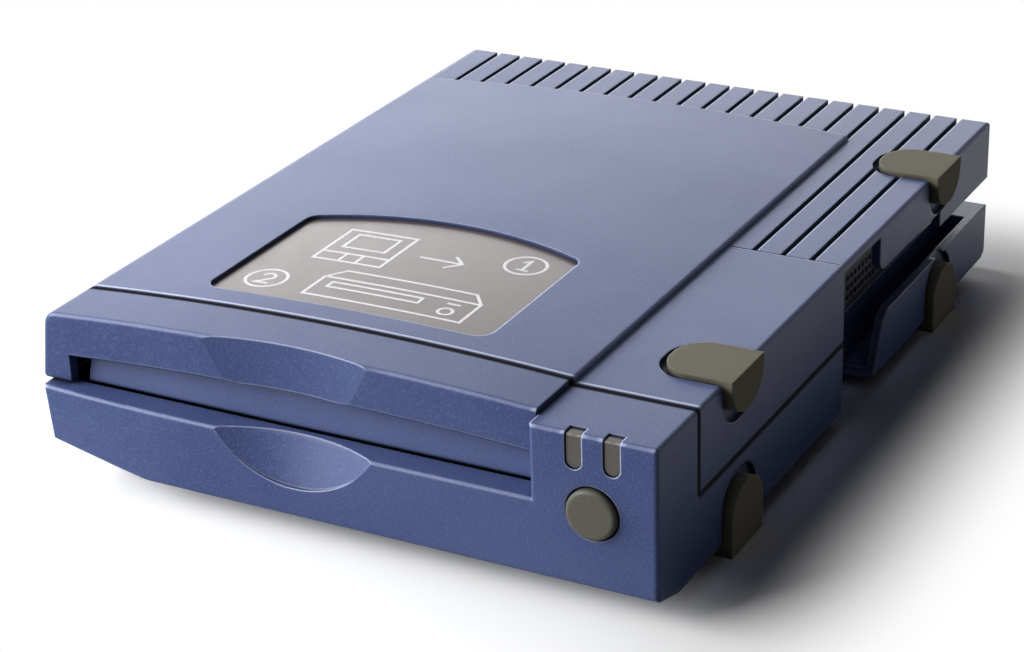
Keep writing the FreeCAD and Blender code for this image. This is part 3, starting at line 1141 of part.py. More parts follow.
def data_port(x):
    """A wide D-shaped port: flange, metal shell, insert and the body on the board."""
    flange = box(x - PORT_FLANGE_W / 2, x + PORT_FLANGE_W / 2, panel_rear, panel_rear + PORT_FLANGE_T,
                 PORT_Z - PORT_FLANGE_H / 2, PORT_Z + PORT_FLANGE_H / 2)
    flange = round_edges(flange, 1.5, lambda c, e: near(c.y, panel_rear + PORT_FLANGE_T / 2))
    shell = port_outline(PORT_SHELL_W, PORT_SHELL_H, panel_rear, panel_rear + PORT_FLANGE_T + PORT_SHELL_L,
                         x=x)
    mouth = port_outline(PORT_SHELL_W - 1.2, PORT_SHELL_H - 1.2, panel_rear + PORT_FLANGE_T,
                         panel_rear + PORT_FLANGE_T + PORT_SHELL_L + 1, x=x, radius=1.5)
    insert = port_outline(PORT_SHELL_W - 2.0, PORT_SHELL_H - 2.0, panel_rear,
                          panel_rear + PORT_FLANGE_T + PORT_SHELL_L - 0.6, x=x, radius=1.2)
    neck = port_outline(PORT_SHELL_W, PORT_SHELL_H, PANEL_Y - 1, panel_rear + 0.5, x=x)
    body = box(x - PORT_BODY_W / 2, x + PORT_BODY_W / 2, PANEL_Y - PORT_BODY_L, PANEL_Y,
               board_top, PORT_Z + PORT_BODY_H / 2)
    return fuse(cut(fuse(flange, shell), mouth), insert, neck, body)


def jack_screws():
    """Hexagonal posts that lock a plug to each port."""
    posts = []
    for x in PORT_X:
        for side in (-1, 1):
            centre = vec(x + side * JACKSCREW_X, panel_rear + PORT_FLANGE_T, PORT_Z)
            points = [centre + vec(JACKSCREW_R * math.cos(math.radians(60 * i)), 0,
                                   JACKSCREW_R * math.sin(math.radians(60 * i))) for i in range(6)]
            post = polygon(points, vec(0, JACKSCREW_L, 0))
            bore = rod(centre.x, centre.y + 1, centre.z, JACKSCREW_BORE_R, JACKSCREW_L, Y_AXIS)
            posts.append(cut(post, bore))
    return posts


def power_jack():
    """Round power inlet with its centre pin, standing on the board."""
    z = board_top + JACK_H / 2
    body = box(JACK_X - JACK_W / 2, JACK_X + JACK_W / 2, panel_rear - JACK_L, panel_rear, board_top,
               board_top + JACK_H)
    body = cut(body, rod(JACK_X, panel_rear - JACK_BORE_L, z, JACK_BORE_R, JACK_BORE_L + 1, Y_AXIS))
    pin = rod(JACK_X, panel_rear - JACK_BORE_L - 1, z, JACK_PIN_R, JACK_BORE_L, Y_AXIS)
    return fuse(body, pin)


def rear_panel():
    """Metal sheet behind the ports with their cut-outs."""
    x1 = channel_wall_x0 - FIT
    lower = lower_room(x1, PANEL_Y, panel_rear, WALL, LEDGE_Z, FIT)
    upper = box(lower_left(LEDGE_Z) + WALL + FIT, x1, PANEL_Y, panel_rear, LEDGE_Z - 1,
                STRIP_TOP - DECK_THICK)
    sheet = fuse(lower, upper)
    holes = [port_outline(PORT_SHELL_W + 0.6, PORT_SHELL_H + 0.6, PANEL_Y - 1, panel_rear + 1, x=x)
             for x in PORT_X]
    holes.append(box(JACK_X - JACK_W / 2 - FIT, JACK_X + JACK_W / 2 + FIT, PANEL_Y - 1, panel_rear + 1,
                     board_top - FIT, board_top + JACK_H + FIT))
    return cut(sheet, *holes)


def side_grille():
    """Pierced sheet in the recessed side wall."""
    y0, y1 = GRILLE_Y0 - 1.5 + FIT, GRILLE_Y1 + 1.5 - FIT
    z0, z1 = LOWER_WALL_Z + SEAM + FIT, GRILLE_Z1 + 1.5 - FIT
    x0 = channel_wall_x1 - GRILLE_THICK
    outline = Part.makePolygon([vec(x0, y0, z0), vec(x0, y1, z0), vec(x0, y1, z1), vec(x0, y0, z1),
                                vec(x0, y0, z0)])
    wires = [outline]
    size = GRILLE_PITCH - GRILLE_BAR
    columns = int((GRILLE_Y1 - GRILLE_Y0) / GRILLE_PITCH) - 1
    rows = int((GRILLE_Z1 - GRILLE_Z0 - 1) / GRILLE_PITCH)
    for column in range(columns):
        for row in range(rows):
            y = GRILLE_Y0 + GRILLE_PITCH * (column + 0.5)
            z = GRILLE_Z0 + 1 + GRILLE_PITCH * row + 0.3
            wires.append(Part.makePolygon([vec(x0, y, z), vec(x0, y + size, z), vec(x0, y + size, z + size),
                                           vec(x0, y, z + size), vec(x0, y, z)]))
    face = Part.Face(wires, "Part::FaceMakerCheese")
    return face.extrude(vec(GRILLE_THICK, 0, 0)).Solids[0]


def case_screws():
    """Long screws from the underside into the top shell's bosses."""
    screws = []
    for x, y in CASE_SCREWS:
        head = rod(x, y, CASE_SINK - CASE_HEAD_H, CASE_HEAD_R, CASE_HEAD_H)
        shank = rod(x, y, CASE_SINK - SINK, CASE_SCREW_R, SINK + CASE_SCREW_L)
        screws.append(fuse(head, shank))
    return screws


def chassis_screws():
    screws = []
    for x, y in CHASSIS_SCREWS:
        head = rod(x, y, chassis_top, CHASSIS_HEAD_R, CHASSIS_HEAD_H)
        shank = rod(x, y, CHASSIS_Z - 4.5, CHASSIS_SCREW_R, 4.7 + SHEET)
        screws.append(fuse(head, shank))
    return screws


os.makedirs("parts", exist_ok=True)
write("bottom_shell", bottom_shell())
write("top_shell", top_shell())
write("front_lip", front_lip())
write("window_panel", window_panel())
write("eject_button", eject_button())
write("button_spring", button_spring())
for name, lamp_x in zip(("left", "right"), LAMP_X):
    write("light_pipe_" + name, light_pipe(lamp_x))
write("panel_board", panel_board())
write("status_leds", *status_leds())
write("button_switch", button_switch())
write("disk_door", disk_door())
write("door_spring", door_spring())
write("chassis_frame", chassis_frame())
write("top_plate", top_plate())
write("disk_tray", disk_tray())
write("motor_plate", motor_plate())
write("motor_coils", *motor_coils())
write("spindle_rotor", spindle_rotor())
write("head_carriage", head_carriage())
write("lower_head_arm", head_arm(LOWER_ARM_Z, LOWER_ARM_Z + ARM_T - 0.1))
write("upper_head_arm", head_arm(UPPER_ARM_Z, UPPER_ARM_Z - HEAD_T + 0.1))
write("arm_spacer", arm_spacer())
write("voice_coils", *voice_coils())
write("magnet_yokes", *magnet_yokes())
write("drive_magnets", *drive_magnets())
write("carriage_rods", *[rod(BAY_X + side * ROD_X, ROD_TAB_Y[0], ROD_Z, ROD_R,
                             ROD_TAB_Y[1] + ROD_TAB_T - ROD_TAB_Y[0], Y_AXIS) for side in (-1, 1)])
write("head_flex", head_flex())
write("solenoid", solenoid())
write("solenoid_plunger", solenoid_plunger())
write("latch_lever", latch_lever())
write("latch_pin", latch_pin())
write("circuit_board", circuit_board())
write("board_chips", *board_chips())
for name, port_x in zip(("left", "right"), PORT_X):
    write("data_port_" + name, data_port(port_x))
write("jack_screws", *jack_screws())
write("power_jack", power_jack())
write("rear_panel", rear_panel())
write("side_grille", side_grille())
for name, pad_y in zip(("front", "rear"), PAD_Y):
    write("upper_pad_" + name, edge_pad(pad_y, True, False))
    write("lower_pad_" + name, edge_pad(pad_y, False, False))
    write("left_foot_" + name, foot(pad_y, False))
write("case_screws", *case_screws())
write("chassis_screws", *chassis_screws())
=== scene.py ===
import json
import math

import bmesh
import bpy
from mathutils import Matrix, Vector
from mathutils.bvhtree import BVHTree

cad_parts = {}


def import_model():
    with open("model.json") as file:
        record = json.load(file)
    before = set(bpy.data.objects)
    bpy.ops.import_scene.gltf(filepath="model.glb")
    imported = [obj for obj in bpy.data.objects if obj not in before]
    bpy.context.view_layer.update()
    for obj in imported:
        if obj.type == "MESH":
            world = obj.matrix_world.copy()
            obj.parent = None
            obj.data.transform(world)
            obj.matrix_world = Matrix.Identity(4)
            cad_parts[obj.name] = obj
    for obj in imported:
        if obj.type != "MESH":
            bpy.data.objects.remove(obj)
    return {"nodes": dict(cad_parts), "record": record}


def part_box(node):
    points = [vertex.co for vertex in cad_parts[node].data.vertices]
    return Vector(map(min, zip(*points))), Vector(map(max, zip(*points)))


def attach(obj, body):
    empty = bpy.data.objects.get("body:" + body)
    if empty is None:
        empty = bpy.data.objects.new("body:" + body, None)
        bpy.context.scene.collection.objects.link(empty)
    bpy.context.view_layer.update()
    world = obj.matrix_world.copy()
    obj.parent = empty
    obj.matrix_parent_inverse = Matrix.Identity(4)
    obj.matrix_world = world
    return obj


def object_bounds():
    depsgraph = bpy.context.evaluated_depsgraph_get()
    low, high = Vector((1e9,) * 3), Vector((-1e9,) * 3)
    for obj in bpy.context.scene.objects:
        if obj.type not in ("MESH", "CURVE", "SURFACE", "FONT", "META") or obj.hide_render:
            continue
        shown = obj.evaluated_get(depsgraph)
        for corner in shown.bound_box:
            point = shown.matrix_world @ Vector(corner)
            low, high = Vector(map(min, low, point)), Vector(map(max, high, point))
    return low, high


# A desktop drive for hard disk cartridges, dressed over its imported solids.
# Lengths named _MM are millimetres; everything handed to Blender is metres.
# A pair named _ENDS is where a mask starts and where it is full.

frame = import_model()
cad_low, cad_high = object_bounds()

MM = 0.001

# The case's left, front and lower corner, counted from the outer box of the whole object
CASE_TO_RIGHT_MM = 137.8     # from the case's left side to the outer face of the side pads
BUTTON_PROUD_MM = 1.2        # the button stands out of the front face
FOOT_MM = 2.5                # height of the rubber feet

# Photograph: the camera was solved from the object's straight edges
CAMERA_AZIMUTH = math.radians(28.65)
CAMERA_ELEVATION = math.radians(24.63)
CAMERA_ROLL = math.radians(-1.84)
CAMERA_DISTANCE_MM = 575.4
CAMERA_PIVOT_MM = (68.0, 91.0, 0.0)    # the point that the angles and the distance start from
CAMERA_ASIDE_MM = (-9.06, 6.62)        # how far the eye moves to its own right, and up
CAMERA_NEAREST = 0.01                  # metres
LENS_MM = 91.74
SENSOR_MM = 36.0

# Table, in metres: the object's shadow fades to plain white between these distances from the
# object's footprint
FLOOR_NEAR, FLOOR_FAR = 0.006, 0.045
FLOOR_HALF = 4.0                       # half the table's side
FLOOR_SHOWN = (1.4, 1.4, 1.39, 1.0)    # where it is seen: over-white, like brightly lit paper
FLOOR_BOUNCE = (0.14, 0.14, 0.14, 1.0)  # where it throws light back on the object: much duller

# Light at a plain level
WHITE = "#ffffff"
WORLD_FILL = 0.01
LAMPS = (
    # name, place in metres, side lengths in metres, watts
    ("low_softbox", (-0.56, -0.42, 0.30), (0.75, 0.48), 9.2),
    ("window_behind", (-0.42, 0.78, 0.26), (0.80, 0.30), 2.9),
    ("left_softbox", (-0.42, 0.12, 0.50), (0.40, 0.40), 1.3),
)
LAMP_AIM = (-0.01, -0.02, 0.02)

# Soft edges with painted highlights, partly wear, and painted shade in corners, which all but the
# printed, wound and laminated finishes have
BEVEL_MM = 0.55              # softness of a moulded edge; metal and clear pieces have half of it
BEVEL_SAMPLES, SHADE_SAMPLES = 6, 5
TURNED_ENDS = (0.99, 0.88)   # likeness of the softened normal to the face's own
OPEN_ENDS = (0.60, 0.85)     # share of free space over the surface that an outward edge has
# rounded edges whose faces turn towards this way get a painted highlight
FRONT_UP = (0.0, -0.707, 0.707)
FRONT_UP_ENDS = (0.88, 0.96)
RIM_REACH_MM = 1.5           # how far the body under an outward edge is felt
THIN_ENDS = (0.85, 0.65)     # an edge has less body under it than a face has
CORNER_REACH_MM = 3.0        # how far the painted shade creeps out of a corner
DEEP_ENDS = (0.85, 0.38)     # share of free space that is left in a corner
DEEP_SHADE, METAL_SHADE = "#0c0e18", "#55544f"

# Joints between the lip, the front block and the two shells, in the case's millimetres
FRONT_JOINT_Y_MM = 17.8
FRONT_JOINT_X_MM = (100.0, 131.0)
SIDE_JOINT_Z_MM = 16.4
LEDGE_Z_MM = 18.8
# The gap is 0.3 mm wide; a band of painted shade on both sides makes it look about 1 mm
JOINT_SHADE_MM = 1.9
JOINT_EDGE_MM = 1.45         # the painted highlight on the rounded edge lies this far behind the joint
JOINT_LIT_MM = 0.725         # width of that painted highlight
JOINT_LIT_SHARE = 0.8        # how bright the painted highlight is
JOINT_TOP_ENDS = (0.7, 0.9)  # only a face that looks up has it
BAND_CORE = 0.7              # share of a stripe's width that is at full strength

# All finishes. A pair named _SWING is how far a roughness goes below and above its middle.
WHOLE = (0.0, 1.0)           # ends that take in all of a pattern
CLOUDS_PER_METRE = 28.0      # slow changes of tone, about 36 mm from one to the next

# Plastic. Spark-eroded moulds have a grain of 0.1 to 0.2 mm; it is drawn coarser, so that it shows.
SPARK_GRAIN_MM = 0.45
FINE_GRAIN_MM = 0.25
GRAIN_BUMP = 0.6
GRAIN_ENDS, PLASTIC_SWING = (0.3, 0.7), (0.07, 0.07)
CLOUD_ENDS, CLOUD_SHARE = (0.35, 0.65), 0.16
SPECK_ENDS, SPECK_SHARE = (0.50, 0.74), 0.35
PLASTIC_CORNER_SHADE = 0.85          # how dark the painted shade makes a corner
SKIN_GLOSS = 0.18            # the fine texture breaks up part of the plastic's gloss
RUBBED_GLOSS = 0.16          # how much less rough a rubbed edge is than the face beside it

# Metal. Rolling and grinding lines are under 0.1 mm apart; they are drawn 0.2 to 0.4 mm apart, so
# that they show.
STREAK = (1.0, 0.06, 1.0)    # drawn out along the drive's depth
STREAK_BUMP, STREAK_DEPTH_MM = 0.4, 0.004
METAL_SWING = (0.08, 0.10)
# pale edges, partly wear and partly painted highlight, and painted shade in corners
METAL_WEAR_AND_HIGHLIGHT, METAL_CORNER_SHADE = 0.3, 0.4
METAL_RUBBED_AND_HIGHLIGHT = "#e6e6e2"

# Clear plastic: smears from handling are a few millimetres across
HAZE_MM = 3.0
HAZE_BUMP, HAZE_DEPTH_MM = 0.2, 0.01
CLEAR_SWING = (0.04, 0.08)
# a coat on outer edges, painted highlight and partly wear where pale, painted shade where dark;
# painted shade in corners
CLEAR_WEAR_AND_HIGHLIGHT, CLEAR_CORNER_SHADE = 0.5, 0.7

# Printed, wound and laminated surfaces
PATCH_ENDS = (0.48, 0.56)
PATCH_BUMP, PATCH_DEPTH_MM = 0.3, 0.02
RESIN_SWING = (0.05, 0.10)

# Marks on the window: simple outlines of our own and two plain numbers, in millimetres from the
# window's left front corner
MARK_WIDTH_MM = 0.7
MARK_LIFT_MM = 0.02          # clear of the window's face
MARK_STEP_MM = 1.5           # the longest stretch that follows the crown in one piece
MARK_DROP_MM = 10.0          # the marks are dropped on the window from this high
ARC_STEP_DEGREES = 12
SAME_POINT_MM = 0.01
MITRE_LEAST = 0.4            # keeps a sharp turn from running out far
RING_MM = 4.4
ONE_AT, TWO_AT = (55.0, 35.0), (9.0, 9.0)

# Rear ports
PORT_MIDDLE_MM = 13.2        # height over the case's underside
CONTACT_ROWS = ((13, 1), (12, -1))     # contacts in a row, and the side of the middle it is on
CONTACT_PITCH_MM = 2.77
CONTACT_ROW_MM = 2.84        # from one row to the other
CONTACT_R_MM = 0.45
CONTACT_OUT_MM = 0.25        # a contact stands this far out of the insert's face
CONTACT_SIDES = 12
INSERT_SINK_MM = 0.6         # the insert's face lies this far inside the metal shell

origin = Vector((cad_high.x - CASE_TO_RIGHT_MM * MM, cad_low.y + BUTTON_PROUD_MM * MM,
                 FOOT_MM * MM))


def place(x, y, z):
    """A point given in millimetres from the case's corner."""
    return origin + Vector((x, y, z)) * MM


def linear(code):
    """An sRGB hex colour as linear RGBA."""
    parts = [int(code[i:i + 2], 16) / 255 for i in (1, 3, 5)]
    return tuple(p / 12.92 if p <= 0.04045 else ((p + 0.055) / 1.055) ** 2.4
                 for p in parts) + (1.0,)


def node(tree, kind, links=None, **settings):
    """Add a node with its settings; links maps an input to a value or another node's output."""
    made = tree.nodes.new(kind)
    for name, value in settings.items():
        setattr(made, name, value)
    for key, value in (links or {}).items():
        if isinstance(value, bpy.types.NodeSocket):
            tree.links.new(value, made.inputs[key])
        else:
            made.inputs[key].default_value = value
    return made


def between(ends, onto=WHOLE):
    """The limits of a Map Range node that takes one pair of ends to another."""
    return {"From Min": ends[0], "From Max": ends[1], "To Min": onto[0], "To Max": onto[1]}


def around(middle, swing):
    """The least and the greatest roughness round a middle."""
    return middle - swing[0], middle + swing[1]


def new_material(name):
    """An empty node material and its output."""
    material = bpy.data.materials.new(name)
    material.use_nodes = True
    material.node_tree.nodes.clear()
    return material, material.node_tree, node(material.node_tree, "ShaderNodeOutputMaterial")


def edge_light(tree, radius_mm):
    """Softened normals, a mask of outer edges for painted highlight and wear, and one of corners
    for painted shade.
    """
    soft = node(tree, "ShaderNodeBevel", {"Radius": radius_mm * MM}, samples=BEVEL_SAMPLES)
    plain = node(tree, "ShaderNodeNewGeometry")
    likeness = node(tree, "ShaderNodeVectorMath",
                    {0: soft.outputs["Normal"], 1: plain.outputs["Normal"]},
                    operation="DOT_PRODUCT")
    turned = node(tree, "ShaderNodeMapRange",
                  {"Value": likeness.outputs["Value"], **between(TURNED_ENDS)})
    # a painted highlight on a rounded edge between a front and a top face: it faces between them,
    # over a thin body
    way = node(tree, "ShaderNodeVectorMath", {0: plain.outputs["Normal"], 1: FRONT_UP},
               operation="DOT_PRODUCT")
    way = node(tree, "ShaderNodeMapRange",
               {"Value": way.outputs["Value"], **between(FRONT_UP_ENDS)})
    body = node(tree, "ShaderNodeAmbientOcclusion", {"Distance": RIM_REACH_MM * MM},
                samples=SHADE_SAMPLES, inside=True)
    thin = node(tree, "ShaderNodeMapRange", {"Value": body.outputs["AO"], **between(THIN_ENDS)})
    rounded = node(tree, "ShaderNodeMath", {0: way.outputs["Result"], 1: thin.outputs["Result"]},
                   operation="MULTIPLY")
    # either kind of edge counts only where it stands out
    room = node(tree, "ShaderNodeAmbientOcclusion", {"Distance": CORNER_REACH_MM * MM},
                samples=SHADE_SAMPLES)
    outward = node(tree, "ShaderNodeMapRange",
                   {"Value": room.outputs["AO"], **between(OPEN_ENDS)})
    rim = node(tree, "ShaderNodeMath",
               {0: turned.outputs["Result"], 1: rounded.outputs["Value"]}, operation="MAXIMUM")
    rim = node(tree, "ShaderNodeMath", {0: rim.outputs["Value"], 1: outward.outputs["Result"]},
               operation="MULTIPLY")
    deep = node(tree, "ShaderNodeMapRange", {"Value": room.outputs["AO"], **between(DEEP_ENDS)})
    return soft.outputs["Normal"], rim.outputs["Value"], deep.outputs["Result"]


def band(tree, value, middle, width_mm):
    """1 in the core of a stripe, falling to 0 at its edges."""
    half = width_mm / 2 * MM
    off = node(tree, "ShaderNodeMath", {0: value, 1: middle}, operation="SUBTRACT")
    off = node(tree, "ShaderNodeMath", {0: off.outputs["Value"]}, operation="ABSOLUTE")
    return node(tree, "ShaderNodeMapRange",
                {"Value": off.outputs["Value"],
                 **between((half, half * BAND_CORE))}).outputs["Result"]


def painted_joint_shade_and_highlight(tree):
    """Masks along the joints between the mouldings: painted shade over the gap, and a painted
    highlight on the edge behind it.
    """
    spot = node(tree, "ShaderNodeSeparateXYZ",
                {0: node(tree, "ShaderNodeTexCoord").outputs["Object"]})
    facing = node(tree, "ShaderNodeSeparateXYZ",
                  {0: node(tree, "ShaderNodeNewGeometry").outputs["Normal"]})
    x, y, z = spot.outputs
    corner = place(FRONT_JOINT_X_MM[1], FRONT_JOINT_Y_MM, SIDE_JOINT_Z_MM)
    ledge = place(FRONT_JOINT_X_MM[0], 0, LEDGE_Z_MM)
    # the front joint ends at the ledge on the left, and at the side joint on the right
    lowest = node(tree, "ShaderNodeMapRange",
                  {"Value": x, **between((ledge.x, corner.x), (ledge.z, corner.z))})
    over = node(tree, "ShaderNodeMath", {0: z, 1: lowest.outputs["Result"]},
                operation="GREATER_THAN")
    front = node(tree, "ShaderNodeMath",
                 {0: band(tree, y, corner.y, JOINT_SHADE_MM), 1: over.outputs["Value"]},
                 operation="MULTIPLY")
    # the side joint runs back from the corner, on the outer wall alone
    behind = node(tree, "ShaderNodeMath", {0: y, 1: corner.y}, operation="GREATER_THAN")
    right = node(tree, "ShaderNodeMath", {0: x, 1: corner.x}, operation="GREATER_THAN")
    wall = node(tree, "ShaderNodeMath", {0: behind.outputs["Value"], 1: right.outputs["Value"]},
                operation="MULTIPLY")
    side = node(tree, "ShaderNodeMath",
                {0: wall.outputs["Value"], 1: band(tree, z, corner.z, JOINT_SHADE_MM)},
                operation="MULTIPLY")
    dark = node(tree, "ShaderNodeMath", {0: front.outputs["Value"], 1: side.outputs["Value"]},
                operation="MAXIMUM")
    top = node(tree, "ShaderNodeMapRange",
               {"Value": facing.outputs["Z"], **between(JOINT_TOP_ENDS)})
    lit = node(tree, "ShaderNodeMath",
               {0: band(tree, y, corner.y + JOINT_EDGE_MM * MM, JOINT_LIT_MM),
                1: top.outputs["Result"]}, operation="MULTIPLY")
    return dark.outputs["Value"], lit.outputs["Value"]


# Sockets of a colour Mix node, by number, because its names repeat
MIX_A, MIX_B, MIX_RESULT = 6, 7, 2


def painted(tree, base, coats):
    """A base colour under thin coats, each a share from 0 to 1 and a colour."""
    colour = linear(base)
    for share, coat in coats:
        colour = node(tree, "ShaderNodeMix", {0: share, MIX_A: colour, MIX_B: linear(coat)},
                      data_type="RGBA").outputs[MIX_RESULT]
    return colour


def surfaced(tree, output, relief, shader):
    """The skin's relief and the shader that carries it, joined to the material's output."""
    bump = node(tree, "ShaderNodeBump", relief)
    surface = node(tree, "ShaderNodeBsdfPrincipled", {**shader, "Normal": bump.outputs["Normal"]})
    tree.links.new(surface.outputs["BSDF"], output.inputs["Surface"])


def skin(tree, grain_mm):
    """The fine grain and the slow clouds that a finish starts from."""
    spot = node(tree, "ShaderNodeTexCoord").outputs["Object"]
    grain = node(tree, "ShaderNodeTexNoise", {"Vector": spot, "Scale": 1 / (grain_mm * MM),
                                              "Detail": 2.0, "Roughness": 0.6})
    cloud = node(tree, "ShaderNodeTexNoise", {"Vector": spot, "Scale": CLOUDS_PER_METRE,
                                              "Detail": 3.0})
    return grain.outputs["Fac"], cloud.outputs["Fac"]


def moulded(name, colour, lighter, rough, depth_mm, grain_mm=FINE_GRAIN_MM, wear_and_highlight_share=0.55,
            rubbed_and_highlight_colour=None, joints=False):
    """Injection-moulded plastic: a spark-eroded skin, pale edges that are partly wear and partly
    painted highlight, and painted shade in corners.
    """
    rubbed_and_highlight_colour = rubbed_and_highlight_colour or lighter
    material, tree, output = new_material(name)
    grain, cloud = skin(tree, grain_mm)
    normal, rim, deep = edge_light(tree, BEVEL_MM)
    tone = node(tree, "ShaderNodeMapRange",
                {"Value": cloud, **between(CLOUD_ENDS, (0.0, CLOUD_SHARE))})
    speck = node(tree, "ShaderNodeMapRange",
                 {"Value": grain, **between(SPECK_ENDS, (0.0, SPECK_SHARE))})
    # painted highlight, partly wear: outer edges turn pale
    wear_and_highlight_mask = node(tree, "ShaderNodeMath", {0: rim, 1: wear_and_highlight_share}, operation="MULTIPLY")
    # painted shade: corners darken towards DEEP_SHADE
    corner_shade = node(tree, "ShaderNodeMath", {0: deep, 1: PLASTIC_CORNER_SHADE}, operation="MULTIPLY")
    coats = [(tone.outputs["Result"], lighter), (speck.outputs["Result"], lighter),
             (wear_and_highlight_mask.outputs["Value"], rubbed_and_highlight_colour), (corner_shade.outputs["Value"], DEEP_SHADE)]
    matt = node(tree, "ShaderNodeMapRange",
                {"Value": grain, **between(GRAIN_ENDS, around(rough, PLASTIC_SWING))})
    shine = node(tree, "ShaderNodeMath", {0: rim, 1: RUBBED_GLOSS}, operation="MULTIPLY")
    matt = node(tree, "ShaderNodeMath", {0: matt.outputs["Result"], 1: shine.outputs["Value"]},
                operation="SUBTRACT", use_clamp=True)
    # nothing shines down in a corner or a joint
    matt = node(tree, "ShaderNodeMath", {0: matt.outputs["Value"], 1: corner_shade.outputs["Value"]},
                operation="MAXIMUM")
    # painted shade along the joints, and a painted highlight on the rounded edge behind them
    if joints:
        dark, lit = painted_joint_shade_and_highlight(tree)
        lit = node(tree, "ShaderNodeMath", {0: lit, 1: JOINT_LIT_SHARE}, operation="MULTIPLY")
        coats += [(lit.outputs["Value"], rubbed_and_highlight_colour), (dark, DEEP_SHADE)]
        matt = node(tree, "ShaderNodeMath", {0: matt.outputs["Value"], 1: dark},
                    operation="MAXIMUM")
    surfaced(tree, output,
             {"Strength": GRAIN_BUMP, "Distance": depth_mm * MM, "Height": grain,
              "Normal": normal},
             {"Base Color": painted(tree, colour, coats), "Roughness": matt.outputs["Value"],
              "IOR": 1.52, "Specular IOR Level": SKIN_GLOSS})
    return material


def metal(name, colour, rough, grain_mm):
    """Rolled, ground or plated metal with fine streaks along the drive's depth, pale edges of wear
    and painted highlight, and painted shade in corners.
    """
    material, tree, output = new_material(name)
    spot = node(tree, "ShaderNodeTexCoord").outputs["Object"]
    drawn = node(tree, "ShaderNodeMapping", {"Vector": spot, "Scale": STREAK})
    streak = node(tree, "ShaderNodeTexNoise",
                  {"Vector": drawn.outputs["Vector"], "Scale": 1 / (grain_mm * MM),
                   "Detail": 3.0}).outputs["Fac"]
    normal, rim, deep = edge_light(tree, BEVEL_MM / 2)
    # painted highlight, partly wear, on outer edges, and painted shade in corners
    wear_and_highlight_mask = node(tree, "ShaderNodeMath", {0: rim, 1: METAL_WEAR_AND_HIGHLIGHT}, operation="MULTIPLY")
    corner_shade = node(tree, "ShaderNodeMath", {0: deep, 1: METAL_CORNER_SHADE}, operation="MULTIPLY")
    coats = [(wear_and_highlight_mask.outputs["Value"], METAL_RUBBED_AND_HIGHLIGHT), (corner_shade.outputs["Value"], METAL_SHADE)]
    matt = node(tree, "ShaderNodeMapRange",
                {"Value": streak, **between(WHOLE, around(rough, METAL_SWING))})
    surfaced(tree, output,
             {"Strength": STREAK_BUMP, "Distance": STREAK_DEPTH_MM * MM, "Height": streak,
              "Normal": normal},
             {"Base Color": painted(tree, colour, coats), "Roughness": matt.outputs["Result"],
              "Metallic": 1.0})
    return material


def clear(name, colour, rough, through, ior, rim_colour="#d9d7d0"):
    """Moulded clear plastic: a glossy skin that lets some light through, faint smears, outer edges
    painted in rim_colour, and painted shade in corners.
    """
    material, tree, output = new_material(name)
    smear, cloud = skin(tree, HAZE_MM)
    normal, rim, deep = edge_light(tree, BEVEL_MM / 2)
    # outer edges: a painted highlight, partly wear, when rim_colour is pale, and painted shade when
    # it is dark; corners: painted shade
    wear_and_highlight_mask = node(tree, "ShaderNodeMath", {0: rim, 1: CLEAR_WEAR_AND_HIGHLIGHT}, operation="MULTIPLY")
    corner_shade = node(tree, "ShaderNodeMath", {0: deep, 1: CLEAR_CORNER_SHADE}, operation="MULTIPLY")
    coats = [(wear_and_highlight_mask.outputs["Value"], rim_colour), (corner_shade.outputs["Value"], DEEP_SHADE)]
    matt = node(tree, "ShaderNodeMapRange",
                {"Value": smear, **between(WHOLE, around(rough, CLEAR_SWING))})
    surfaced(tree, output,
             {"Strength": HAZE_BUMP, "Distance": HAZE_DEPTH_MM * MM, "Height": cloud,
              "Normal": normal},
             {"Base Color": painted(tree, colour, coats), "Roughness": matt.outputs["Result"],
              "IOR": ior, "Transmission Weight": through})
    return material


def flat_resin(name, colour, second, rough, patch_mm, share):
    """Solder mask, ink, film or winding: two close colours in fine patches under a thin gloss."""
    material, tree, output = new_material(name)
    grain, cloud = skin(tree, patch_mm)
    patch = node(tree, "ShaderNodeMapRange",
                 {"Value": grain, **between(PATCH_ENDS, (0.0, share))})
    matt = node(tree, "ShaderNodeMapRange",
                {"Value": cloud, **between(WHOLE, around(rough, RESIN_SWING))})
    surfaced(tree, output,
             {"Strength": PATCH_BUMP, "Distance": PATCH_DEPTH_MM * MM, "Height": grain},
             {"Base Color": painted(tree, colour, [(patch.outputs["Result"], second)]),
              "Roughness": matt.outputs["Result"], "IOR": 1.5})
    return material


# pale coat on the case's edges and joints: painted highlight, partly wear
CASE_WEAR_AND_HIGHLIGHT = "#c6cfee"

